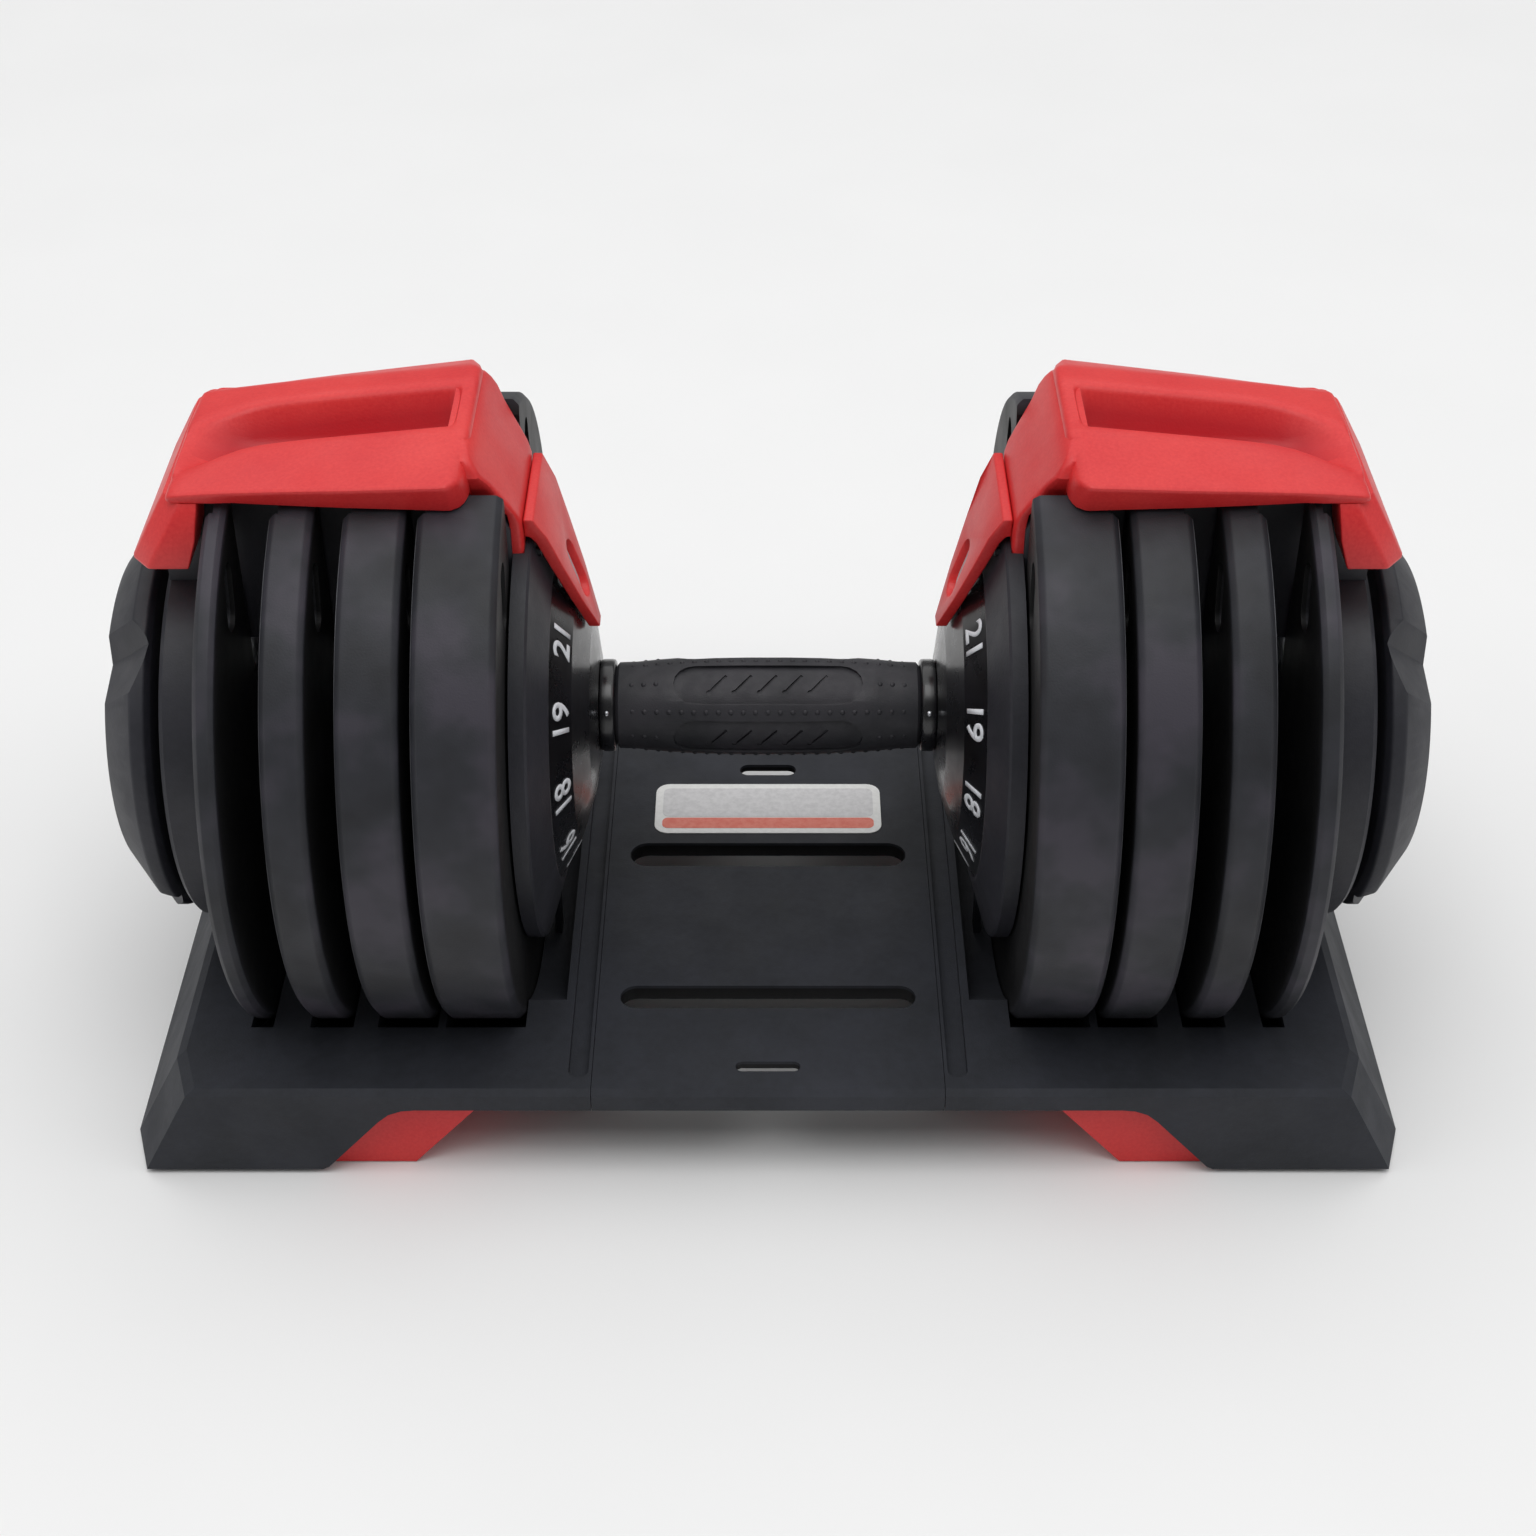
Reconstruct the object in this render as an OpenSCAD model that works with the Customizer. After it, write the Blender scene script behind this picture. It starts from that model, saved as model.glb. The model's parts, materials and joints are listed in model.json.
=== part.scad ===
// Adjustable dumbbell resting in its storage tray.
// +X runs along the handle, +Y to the back, +Z up. The origin is the middle of the tray on the floor.
// Each end is drawn once, on the +X side, and mirrored for the other end.

/* [Handle] */
// Half the length of the rubber grip
grip_half = 51; // [42:0.5:64]
// Radius of the steel tube under the grip
tube_r = 12.5; // [10.4:0.1:15.6]
// Thickness of the rubber at the middle of the grip
grip_t = 4.2; // [2.6:0.1:6]
// Thickness of the rubber at the ends of the grip
grip_end_t = 2; // [1:0.1:2.5]
// Width of each collar beside the grip
collar_w = 5.2; // [4:0.2:8]
// Radius of the steel axle that runs from end to end
axle_r = 8; // [6:0.5:10]

/* [Plates] */
// Radius of every weight plate
plate_r = 105; // [87:0.5:130]
// Thickness of the innermost plate
plate_1_t = 25.5; // [16:0.5:32]
// Thickness of the second plate
plate_2_t = 19; // [12:0.5:26]
// Thickness of the third plate
plate_3_t = 13.3; // [9:0.1:20]
// Thickness of the outermost plate
plate_4_t = 6.3; // [6:0.1:12]
// Gap outside the innermost plate
gap_1 = 3.5; // [3.4:0.1:8]
// Gap outside the second plate
gap_2 = 9; // [3.4:0.1:14]
// Gap outside the third plate
gap_3 = 13.2; // [3.4:0.1:18]
// Gap outside the outermost plate
gap_4 = 4.7; // [4:0.1:8]
// Half the width of the plates' open slot
slot_half = 28; // [23:0.5:34]
// Thickness of the moulded cover on the rim and in the slot
cover_rim_t = 2; // [1.5:0.1:2.5]
// Thickness of the moulded cover on the inner face
cover_face_t = 1.5; // [1:0.1:2]

/* [Selector] */
// Number of weight settings round the dial
settings = 12; // [12]
// Reach of each selector disc past the plates' slot
disc_reach = 8; // [6:0.5:16]
// Thickness of each selector disc
disc_t = 2; // [1.5:0.1:2.4]
// Radius of the selector sleeve
sleeve_r = 14; // [11.5:0.1:17]
// Outer radius of the number ring
ring_r = 57; // [47:0.5:69]
// Radius of the end knobs
knob_r = 67; // [55:1:81]
// Width of the end knobs
knob_w = 17.5; // [14.5:0.5:24]
// Depth of the notches in a knob's bevel
notch_d = 5; // [2:0.5:6]

/* [End frames] */
// Radius of the inner hubs
hub_r = 78; // [65:0.5:94]
// Radius of the outer hubs
outer_hub_r = 70; // [58:0.5:84]
// Width of the outer hubs
outer_hub_w = 13.8; // [11.4:0.2:20]
// Rise of the saddle's crest over the plates, at its inner end
crest_in_rise = 11; // [8:0.5:18]
// Rise of the saddle's crest over the plates, at its outer end
crest_out_rise = 1; // [1:0.5:7]
// Half the width of the saddle's front and back lips
lip_half = 42; // [38:0.5:46]
// Half the width of the trough along the saddle
trough_half = 15; // [10:0.5:17]

/* [Tray] */
// How far the tray reaches past the plates, front and back
tray_margin = 2; // [-15:0.5:24]
// Height of the tray's deck
deck_h = 37; // [31:0.5:44.5]
// Height of the deck's edge, from the skirt's lower edge up
deck_edge = 8; // [7:0.5:9.5]
// Height of the plates above the floor
plate_rise = 8; // [7.5:0.5:14]
// How far the end walls lean out from deck to floor
end_lean = 18; // [10:1:24]
// Thickness of the rubber pads that stand out under the feet
pad_t = 2; // [1.5:0.1:3]

/* [Hidden] */
$fn = 96;

// Colours
charcoal = "#303036";
black = "#1b1b1e";
red = "#d94848";
steel = "#9a9da2";
pale = "#e4e4e0";

// Clearances
fit = 0.06;         // a shaft turning in its bore
slide_gap = 0.5;    // a piece sliding beside another
stand_off = 0.7;    // a turning piece beside a still one
slot_clear = 3;     // a plate above the floor of its slot
hub_clear = 1.5;    // an outer hub or a knob above the tray
slot_side = 0.5;    // a plate beside the wall of its slot
seam = 0.1;         // half the seam between deck and tray

// Heights and radii that follow the plates and the tube
axis_h = plate_r + plate_rise;
tray_half_y = plate_r + tray_margin;
crest_in_z = plate_r + crest_in_rise;
crest_out_z = plate_r + crest_out_rise;
skirt_h = deck_h - deck_edge;
hub_well_r = plate_r - 6;
grip_r = tube_r + grip_t;
grip_end_r = tube_r + grip_end_t;
collar_r = tube_r + 3.1;

// Stack of plates along X
plate_t = [plate_1_t, plate_2_t, plate_3_t, plate_4_t];
gap = [gap_1, gap_2, gap_3, gap_4];
function sum_to(v, n) = n <= 0 ? 0 : v[n - 1] + sum_to(v, n - 1);
collar_x = grip_half;
ring_x = collar_x + collar_w;
ring_depth = 13.4;
ring_back = ring_x + ring_depth;
hub_web_x = ring_back + 0.4;
hub_web_t = 2.4;
hub_back = hub_web_x + 9.7;
stack_x = hub_back + 0.9;
function plate_x0(i) = stack_x + sum_to(plate_t, i) + sum_to(gap, i);
function plate_x1(i) = plate_x0(i) + plate_t[i];
outer_hub_x = plate_x1(3) + gap_4;
outer_hub_back = outer_hub_x + outer_hub_w;
knob_x = outer_hub_back + 3.7;
end_x = knob_x + knob_w;

// Plate channel, lift tab and disc lips
pitch = 360 / settings;
channel_d = 2.5;
disc_r = slot_half + disc_reach;
channel_half = disc_r + 0.8;
lip_r = disc_r - 4;
tab_r = lip_r - 0.7;
tab_half = 5.5;
lip_cut = pitch / 2 + 0.6;
// Plates kept at each setting, written as 8 + 4 + 2 + 1 for plates 1, 2, 3 and 4
kept = [15, 13, 12, 11, 10, 9, 8, 5, 4, 3, 2, 0];
function keeps(i, k) = floor(kept[k] / pow(2, 3 - i)) % 2 == 1;

// Lock
lock_x = hub_web_x + hub_web_t + 1.5;
lock_t = 2.6;
lock_travel = 4;
wheel_r = sleeve_r + 12;
slider_z = lock_travel / 2;
slider_bore_r = wheel_r + lock_travel / 2 + 2.5;
slider_r = slider_bore_r + 5.5;
post_top = hub_r - 6;
shelf_z = hub_r - 16;

// Saddle
arm_x = hub_back - 3.6;
arm_back = stack_x - 0.5;
arm_half = 22;
arm_z = hub_r - 12;
spine_half = slot_half - 4;
spine_z = disc_r + 8;
spine_top = plate_r - 1;
crest_x = arm_back + 13;
claw_x = outer_hub_x - 1.2;
claw_end = outer_hub_back + 5.4;
claw_z = outer_hub_r + 11;
claw_half = 42;
shoulder_z = crest_in_z - 24;

// Tray
deck_half = ring_x + 0.8;
deck_end = outer_hub_back + 3.4;
floor_end = deck_end + end_lean;
foot_x = floor_end - 64;
foot_slope_x = foot_x - 25;
corner_in = 6;
corner_y = 18;
runner_w = 30;
runner_set_back = 5;
bucket_wall = 3;
hub_well_x = hub_web_x - 2.6;
well_floor = axis_h - hub_well_r - bucket_wall;
groove_w = 6.5;
wall = 3;

module at_axis() { translate([0, 0, axis_h]) children(); }
module flip(left) { mirror([left ? 1 : 0, 0, 0]) children(); }
module lathe_x(points) { rotate([0, 90, 0]) rotate_extrude() polygon(points); }
module rod_x(r, x0, x1) { translate([x0, 0, 0]) rotate([0, 90, 0]) cylinder(r = r, h = x1 - x0); }
module slab_x(x0, x1) { translate([x0, 0, 0]) rotate([90, 0, 90]) linear_extrude(x1 - x0) children(); }
module slab_y(y0, y1) { translate([0, y1, 0]) rotate([90, 0, 0]) linear_extrude(y1 - y0) children(); }
module box(x0, x1, y0, y1, z0, z1) { translate([x0, y0, z0]) cube([x1 - x0, y1 - y0, z1 - z0]); }
module oval(half, r, h) {
    box(-half + r, half - r, -r, r, 0, h);
    for (s = [-1, 1]) translate([s * (half - r), 0, 0]) cylinder(r = r, h = h);
}

// ---- Plates -------------------------------------------------------------------------------

// Outline of the open slot, seen along X: a round bottom and parallel sides
module slot_outline(half) {
    circle(r = half);
    translate([-half, 0]) square([2 * half, plate_r + 5]);
}

// Flared mouth that leaves the tips of the horns rounded off
module slot_mouth(i) {
    flare = 5;
    for (s = [-1, 1])
        slab_x(plate_x0(i) - 1, plate_x1(i) + 1)
            polygon([
                [s * (slot_half - 1), plate_r + 2],
                [s * (slot_half - 1), plate_r - 9],
                [s * (slot_half + 0.01), plate_r - 9],
                [s * (slot_half + flare), plate_r + 2]
            ]);
}

// Oval recess in each horn of a plate's inner face
module horn_recess(i, depth) {
    for (s = [-1, 1])
        translate([plate_x0(i) - 1, s * (slot_half + 18), plate_r - 31])
            rotate([s * 12, 0, 0])
                rotate([0, 90, 0])
                    oval(11, 5.5, depth + 1);
}

module plate_core(i) {
    x0 = plate_x0(i) + cover_face_t;
    x1 = plate_x1(i);
    color(steel)
    difference() {
        rod_x(plate_r - cover_rim_t, x0, x1);
        slab_x(x0 - 1, x1 + 1) slot_outline(slot_half + cover_rim_t);
        difference() {
            slab_x(x1 - channel_d, x1 + 1) slot_outline(channel_half);
            box(x1 - channel_d - 1, x1, -tab_half, tab_half, -tab_r, -slot_half);
        }
        for (s = [-1, 1])
            slab_x(x0 - 1, x1 + 1)
                polygon([
                    [s * slot_half, plate_r],
                    [s * slot_half, plate_r - 13],
                    [s * (slot_half + cover_rim_t), plate_r - 13],
                    [s * (slot_half + cover_rim_t + 6), plate_r]
                ]);
        horn_recess(i, cover_face_t + (x1 - x0 - channel_d) * 0.4);
    }
}

module plate_cover(i) {
    x0 = plate_x0(i);
    x1 = plate_x1(i);
    bevel = min(2, plate_t[i] / 4);
    color(charcoal)
    difference() {
        lathe_x([[0, x0], [plate_r - bevel, x0], [plate_r, x0 + bevel], [plate_r, x1 - bevel],
            [plate_r - bevel, x1], [0, x1]]);
        slab_x(x0 - 1, x1 + 1) slot_outline(slot_half);
        slot_mouth(i);
        difference() {
            rod_x(plate_r - cover_rim_t, x0 + cover_face_t, x1 + 1);
            slab_x(x0, x1 + 2) slot_outline(slot_half + cover_rim_t);
            for (s = [-1, 1])
                slab_x(x0, x1 + 2)
                    polygon([
                        [s * slot_half, plate_r],
                        [s * slot_half, plate_r - 13],
                        [s * (slot_half + cover_rim_t), plate_r - 13],
                        [s * (slot_half + cover_rim_t + 6), plate_r]
                    ]);
        }
        slab_x(x1 - channel_d, x1 + 1) slot_outline(channel_half);
        horn_recess(i, cover_face_t + (plate_t[i] - cover_face_t - channel_d) * 0.4);
    }
}

// ---- Turning unit: axle, handle, number rings, selector and knobs ---------------------------

module axle_rod() { color(steel) at_axis() rod_x(axle_r, -end_x + 2.5, end_x - 2.5); }

module handle_tube() {
    color(steel) at_axis() difference() {
        rod_x(tube_r, -ring_back, ring_back);
        rod_x(axle_r, -ring_back - 1, ring_back + 1);
    }
}

module grip() {
    mid = grip_half * 0.62;
    color(black) at_axis()
        lathe_x([[tube_r, -grip_half], [grip_end_r, -grip_half], [grip_r - 0.5, -mid],
            [grip_r, -mid / 2], [grip_r, mid / 2], [grip_r - 0.5, mid], [grip_end_r, grip_half],
            [tube_r, grip_half]]);
}

module collar(left) {
    color(black) at_axis() flip(left)
        lathe_x([[tube_r, collar_x], [collar_r - 0.6, collar_x], [collar_r, collar_x + 0.6],
            [collar_r, ring_x - 0.6], [collar_r - 0.6, ring_x], [tube_r, ring_x]]);
}

number_r = ring_r - 12;
module number_ring(left) {
    color(black) at_axis() flip(left)
        lathe_x([[tube_r, ring_x], [collar_r + 2.4, ring_x], [ring_r - 27, ring_x + 2.1],
            [number_r, ring_x + 6.6], [ring_r - 0.8, ring_x + 12.8], [ring_r, ring_x + 13.2],
            [ring_r, ring_back], [tube_r, ring_back]]);
}

module selector_sleeve(left) {
    color(black) at_axis() flip(left)
        difference() {
            rod_x(sleeve_r, ring_back, knob_x);
            rod_x(axle_r, ring_back - 1, knob_x + 1);
        }
}

// Disc that stands outside plate i, with a lip under the plate's tab at each setting that keeps it
module selector_disc(i) {
    x = plate_x1(i) + stand_off + 0.1;
    difference() {
        rod_x(disc_r, x, x + disc_t);
        rod_x(sleeve_r, x - 1, x + disc_t + 1);
    }
    difference() {
        rod_x(disc_r, x - stand_off - channel_d + 0.4, x);
        rod_x(lip_r, x - channel_d - 2, x + 1);
        for (k = [0 : settings - 1])
            if (!keeps(i, k))
                rotate([k * pitch - 90, 0, 0])
                    slab_x(x - channel_d - 2, x + 1)
                        polygon([[0, 0], [2 * disc_r, -2 * disc_r * tan(lip_cut)],
                            [2 * disc_r, 2 * disc_r * tan(lip_cut)]]);
    }
}

module selector_discs(left) {
    color(steel) at_axis() flip(left) for (i = [0 : 3]) selector_disc(i);
}

module lock_wheel() {
    difference() {
        rod_x(wheel_r, lock_x, lock_x + lock_t);
        rod_x(sleeve_r, lock_x - 1, lock_x + lock_t + 1);
        for (k = [0 : settings - 1])
            rotate([k * pitch, 0, 0])
                box(lock_x - 1, lock_x + lock_t + 1, -3, 3, wheel_r - lock_travel - 0.5, wheel_r + 1);
    }
}
module lock_wheels() { color(steel) at_axis() for (left = [false, true]) flip(left) lock_wheel(); }

// Knob with a bevelled face, finger hollows and a well for the nut
nut_well_r = 17;
nut_x = end_x - 11;
module knob(left) {
    notches = 4;
    notch_turn = 37;
    bevel_x = knob_x + 6;
    bevel_run = 15;
    color(charcoal) at_axis() flip(left)
    difference() {
        lathe_x([[axle_r, knob_x], [knob_r - 3, knob_x], [knob_r, knob_x + 1.5], [knob_r, bevel_x],
            [knob_r - bevel_run, end_x], [axle_r, end_x]]);
        // Notches with one steep and one long side, cut along the bevel
        for (k = [0 : notches - 1])
            rotate([notch_turn + k * 360 / notches, 0, 0])
                translate([bevel_x, 0, knob_r])
                    rotate([0, atan2(end_x - bevel_x, -bevel_run), 0])
                        translate([0, 0, -15])
                            linear_extrude(60)
                                polygon([[notch_d, 0], [-3, 13], [-3, -34]]);
        rod_x(nut_well_r, nut_x, end_x + 1);
    }
}

module axle_nuts() {
    nut_t = 8;
    color(steel) at_axis() for (left = [false, true]) flip(left)
        difference() {
            translate([nut_x, 0, 0]) rotate([0, 90, 0]) cylinder(r = 13.8, h = nut_t, $fn = 6);
            rod_x(axle_r, nut_x - 1, nut_x + nut_t + 1);
        }
}

module knob_cap(left) {
    cap_t = 2;
    color(black) at_axis() flip(left)
        lathe_x([[0, end_x - cap_t], [nut_well_r - 1.5, end_x - cap_t], [nut_well_r - 1.5, end_x - 6],
            [nut_well_r, end_x - 6], [nut_well_r, end_x - 0.6], [nut_well_r - 0.6, end_x], [0, end_x]]);
}

// ---- End frames: hubs, saddles and pointers -------------------------------------------------

hub_screws = [for (s = [-1, 1]) [s * 15, arm_z + 5]];
claw_screws = [for (s = [-1, 1]) [s * 14, spine_z + 8]];

module inner_hub(left) {
    back = hub_back;
    web = hub_web_x;
    color(charcoal) at_axis() flip(left)
    difference() {
        union() {
            lathe_x([[sleeve_r + fit, web], [ring_r + 1, web], [ring_r + 1, web - 1], [ring_r + 2.5, web - 1],
                [hub_r - 0.8, back - 5.6], [hub_r, back - 4.8], [hub_r, back], [hub_r - 3, back],
                [hub_r - 3, back - 3.8], [ring_r + 3, web + hub_web_t], [sleeve_r + fit, web + hub_web_t]]);
            for (s = [-1, 1]) {
                y0 = slider_r + slide_gap;
                box(web + 1, back - 1, s > 0 ? y0 : -y0 - 3, s > 0 ? y0 + 3 : -y0, -slider_r, slider_r);
            }
            box(web + 1, back - 1, -6, 6, shelf_z, shelf_z + 2.5);
            intersection() {
                box(web + 1, arm_x, -arm_half, arm_half, arm_z - 3, hub_r);
                lathe_x([[0, web + 1], [ring_r + 2.5, web], [hub_r - 1, back - 5.2],
                    [hub_r - 1, back], [0, back]]);
            }
        }
        box(arm_x, back + 1, -arm_half - 0.2, arm_half + 0.2, arm_z, hub_r + 1);
        box(web + hub_web_t + 0.2, back + 1, -6, 6, -hub_r - 1, -hub_r + 20);
        for (p = hub_screws) translate([0, p[0], p[1]]) rod_x(1.5, arm_x - 4.5, back);
    }
}

module outer_hub(left) {
    x0 = outer_hub_x;
    x1 = outer_hub_back;
    web_t = 4;
    color(charcoal) at_axis() flip(left)
    difference() {
        union() {
            lathe_x([[outer_hub_r - 4, x0], [outer_hub_r, x0], [outer_hub_r, x1 - 1.5],
                [outer_hub_r - 1.5, x1], [sleeve_r + fit, x1], [sleeve_r + fit, x0 + 1],
                [sleeve_r + 7, x0 + 1], [sleeve_r + 7, x1 - web_t], [outer_hub_r - 4, x1 - web_t]]);
            for (p = claw_screws) translate([0, p[0], p[1]]) rod_x(5, x0, x1 - web_t + 0.5);
        }
        for (p = claw_screws) translate([0, p[0], p[1]]) {
            rod_x(1.8, x0 - 1, x1 + 1);
            rod_x(3.6, x1 - 2.6, x1 + 1);
        }
    }
}

module frame_screws() {
    color(steel) at_axis() for (left = [false, true]) flip(left) {
        for (p = hub_screws) translate([0, p[0], p[1]]) {
            rod_x(1.5, arm_x - 4.5, arm_back - 1.6);
            rod_x(3, arm_back - 1.8, arm_back);
        }
        for (p = claw_screws) translate([0, p[0], p[1]]) {
            rod_x(1.8, outer_hub_x - 9, outer_hub_back - 2.6);
            rod_x(3.6, outer_hub_back - 2.6, outer_hub_back - 0.4);
        }
    }
}

// Thin cross-section of the saddle at one X
module saddle_section(x, points) { slab_x(x, x + 0.5) polygon([for (s = [1, -1], p = s > 0 ? points
    : [for (j = [len(points) - 1 : -1 : 0]) points[j]]) [s * p[0], p[1]]]); }

// Hollow along the top of the saddle
module saddle_trough() {
    floor_half = trough_half - 4;
    hull() {
        saddle_section(crest_x + 7, [[trough_half, crest_in_z + 1], [floor_half, spine_top - 2]]);
        saddle_section(claw_x - 6, [[trough_half, crest_out_z + 1], [floor_half, spine_top - 3]]);
    }
}

module saddle(left) {
    crest_half = trough_half + 11;
    fold_z = plate_r - 6;
    color(red) at_axis() flip(left)
    difference() {
        union() {
            // Cover over the plates, with a lip along its front and back edges
            difference() {
                hull() {
                    saddle_section(crest_x, [[crest_half, crest_in_z], [lip_half - 5, crest_in_z - 5],
                        [lip_half - 7, fold_z]]);
                    saddle_section(crest_x + 5, [[crest_half, crest_in_z], [lip_half, crest_in_z - 6],
                        [lip_half - 2, fold_z - 1]]);
                    saddle_section(claw_x + 5, [[crest_half, crest_out_z], [lip_half - 6, crest_out_z],
                        [lip_half - 6, fold_z + 3]]);
                }
                saddle_trough();
                rod_x(plate_r + 0.8, stack_x - 20, claw_x);
            }
            // Spine through the open slots of the plates
            difference() {
                box(hub_back + 0.1, outer_hub_x, -spine_half, spine_half, spine_z, spine_top + 3);
                saddle_trough();
            }
            // Arm down to the inner hub
            slab_y(-arm_half, arm_half)
                polygon([[arm_x, arm_z + 0.2], [arm_x, shoulder_z], [crest_x - 3.5, crest_in_z - 8],
                    [crest_x, crest_in_z], [crest_x + 3, crest_in_z], [crest_x + 3, shoulder_z - 2],
                    [arm_back, shoulder_z - 2], [arm_back, arm_z + 0.2]]);
            // Claw over the outer hub
            difference() {
                hull() {
                    saddle_section(claw_x, [[crest_half, crest_out_z], [lip_half - 6, crest_out_z - 1]]);
                    saddle_section(claw_x + 5, [[crest_half, crest_out_z], [lip_half - 7, crest_out_z - 2]]);
                    saddle_section(claw_x, [[claw_half, claw_z]]);
                    saddle_section(claw_end - 0.5, [[claw_half - 2, claw_z]]);
                }
                hull() {
                    saddle_section(claw_x - 1, [[claw_half - 4, claw_z + 12], [claw_half - 4, claw_z - 1]]);
                    saddle_section(claw_end - 5, [[claw_half - 4, claw_z + 2], [claw_half - 4, claw_z - 1]]);
                }
            }
            // Web between the claw and the outer hub
            difference() {
                box(claw_x, outer_hub_back - 1, -spine_half, spine_half, outer_hub_r - 14, crest_out_z - 4);
                rod_x(outer_hub_r, outer_hub_x, outer_hub_back + 1);
            }
        }
        for (p = hub_screws) translate([0, p[0], p[1]]) {
            rod_x(1.5, arm_x - 1, arm_back + 1);
            rod_x(3, arm_back - 1.8, arm_back + 1);
        }
        for (p = claw_screws) translate([0, p[0], p[1]]) rod_x(1.8, outer_hub_x - 9, outer_hub_back);
    }
}

// Pointer: a tongue that comes down from the saddle to the number under it
pointer_t = 3.8;
pointer_top = hub_r + 13;
pointer_tip = ring_r - 23;
window_z = ring_r - 2;
window_half = 10;
window_r = 5;
knee = window_z - 3;
knee_x = ring_x + 4.4;
tongue_slope = 0.31;
function pointer_x(z) = z > knee
    ? knee_x + (z - knee) * (arm_x - 3 - knee_x) / (pointer_top - knee)
    : knee_x - (knee - z) * tongue_slope;

module pointer_outline() {
    half = [[arm_half - 1, pointer_top], [19, pointer_top - 13], [15.5, window_z + 10], [10.5, window_z - 5],
        [3, pointer_tip]];
    polygon([for (p = half) p, for (j = [len(half) - 1 : -1 : 0]) [-half[j][0], half[j][1]]]);
}

module pointer_window() {
    translate([ring_x - 5, 0, window_z]) rotate([0, 90, 0]) oval(window_half, window_r, 30);
}

module pointer(left) {
    color(red) at_axis() flip(left)
    difference() {
        intersection() {
            slab_x(ring_x - 5, arm_x) pointer_outline();
            slab_y(-arm_half, arm_half)
                polygon([
                    [pointer_x(pointer_tip), pointer_tip], [pointer_x(knee), knee],
                    [pointer_x(pointer_top), pointer_top],
                    [arm_x, pointer_top], [arm_x, hub_r + 0.8], [arm_x - 1.6, hub_r + 0.6],
                    [pointer_x(hub_r) + pointer_t, hub_r - 2],
                    [pointer_x(knee) + pointer_t, knee],
                    [pointer_x(pointer_tip) + pointer_t, pointer_tip]
                ]);
        }
        pointer_window();
    }
}

module pointer_lenses() {
    lens_t = 1.2;
    low = window_z - 15;
    high = window_z + 15;
    color(pale) at_axis() for (left = [false, true]) flip(left)
        intersection() {
            pointer_window();
            slab_y(-window_half, window_half)
                translate([pointer_t, 0])
                    polygon([[pointer_x(low) - lens_t, low], [pointer_x(knee) - lens_t, knee],
                        [pointer_x(high) - lens_t, high], [pointer_x(high), high],
                        [pointer_x(knee), knee], [pointer_x(low), low]]);
        }
}

// ---- Lock ----------------------------------------------------------------------------------

// Flat slider round the sleeve. It rides up on the tray's post and drops into the wheel when lifted.
module lock_slider(left) {
    color(steel) at_axis() flip(left)
    difference() {
        union() {
            translate([0, 0, slider_z]) rod_x(slider_r, lock_x, lock_x + lock_t);
            box(lock_x, lock_x + lock_t, -4.5, 4.5, -post_top, -slider_r + 4);
            box(lock_x, lock_x + lock_t, -1, 1, slider_r, slider_r + slider_z + 6);
        }
        difference() {
            translate([0, 0, slider_z]) rod_x(slider_bore_r, lock_x - 1, lock_x + lock_t + 1);
            box(lock_x - 2, lock_x + lock_t + 2, -2.4, 2.4, wheel_r + 1, slider_r);
        }
    }
}

// Coil spring: rings of points swept along a helix, with closed flat ends
spring_r = 2.2;
wire_r = 0.4;
spring_turns = 6;
steps = 12;
wire_sides = 6;
module lock_spring(left) {
    z0 = slider_r + slider_z + wire_r;
    z1 = shelf_z - wire_r;
    last = spring_turns * steps;
    points = [for (j = [0 : last], k = [0 : wire_sides - 1])
        let (a = 360 * j / steps, b = 360 * k / wire_sides, r = spring_r + wire_r * cos(b))
        [lock_x + lock_t / 2 + r * cos(a), r * sin(a), z0 + (z1 - z0) * j / last + wire_r * sin(b)]];
    sides = [for (j = [0 : last - 1], k = [0 : wire_sides - 1])
        let (n = (k + 1) % wire_sides, a = j * wire_sides, b = (j + 1) * wire_sides)
        each [[a + k, a + n, b + n], [a + k, b + n, b + k]]];
    ends = [[for (k = [wire_sides - 1 : -1 : 0]) k],
        [for (k = [0 : wire_sides - 1]) last * wire_sides + k]];
    color(steel) at_axis() flip(left) polyhedron(points, concat(sides, ends));
}

// Post that stands up through the tray into the hub
module release_posts() {
    post_half = 3.5;
    color(black) for (left = [false, true]) flip(left) {
        box(lock_x + 0.2, lock_x + lock_t - 0.2, -post_half, post_half, well_floor, axis_h - post_top - 0.1);
        box(lock_x - 4, lock_x + lock_t - 0.2, -8, 8, well_floor - 2, well_floor);
    }
}

// ---- Tray ----------------------------------------------------------------------------------

// Plan of one tray half, with its far corners cut off
module tray_plan(end, inset) {
    y = tray_half_y - inset;
    x = end - inset;
    polygon([[deck_half + seam, -y], [x - corner_in, -y], [x, -y + corner_y], [x, y - corner_y],
        [x - corner_in, y], [deck_half + seam, y]]);
}

// Side outline of the space under the skirt, rounded where it meets the foot
module skirt_space() {
    blend = 7;
    polygon([[-1, -1], [foot_x, -1], [foot_x, pad_t], [foot_x - 2, pad_t + 1],
        [foot_slope_x + blend * 0.7, skirt_h - blend * 0.75],
        [foot_slope_x + blend * 0.2, skirt_h - blend * 0.3],
        [foot_slope_x - blend * 0.4, skirt_h - blend * 0.06],
        [foot_slope_x - blend, skirt_h], [-1, skirt_h]]);
}

scale_y = tray_half_y / 107;
tab_y = [for (y = [-80, -30, 40, 85]) y * scale_y];
deck_screw_x = deck_half - 7;
pad_r = 8;
pad_points = [[foot_x + 13, tray_half_y - 14], [floor_end - 24, tray_half_y - 14]];

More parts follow.
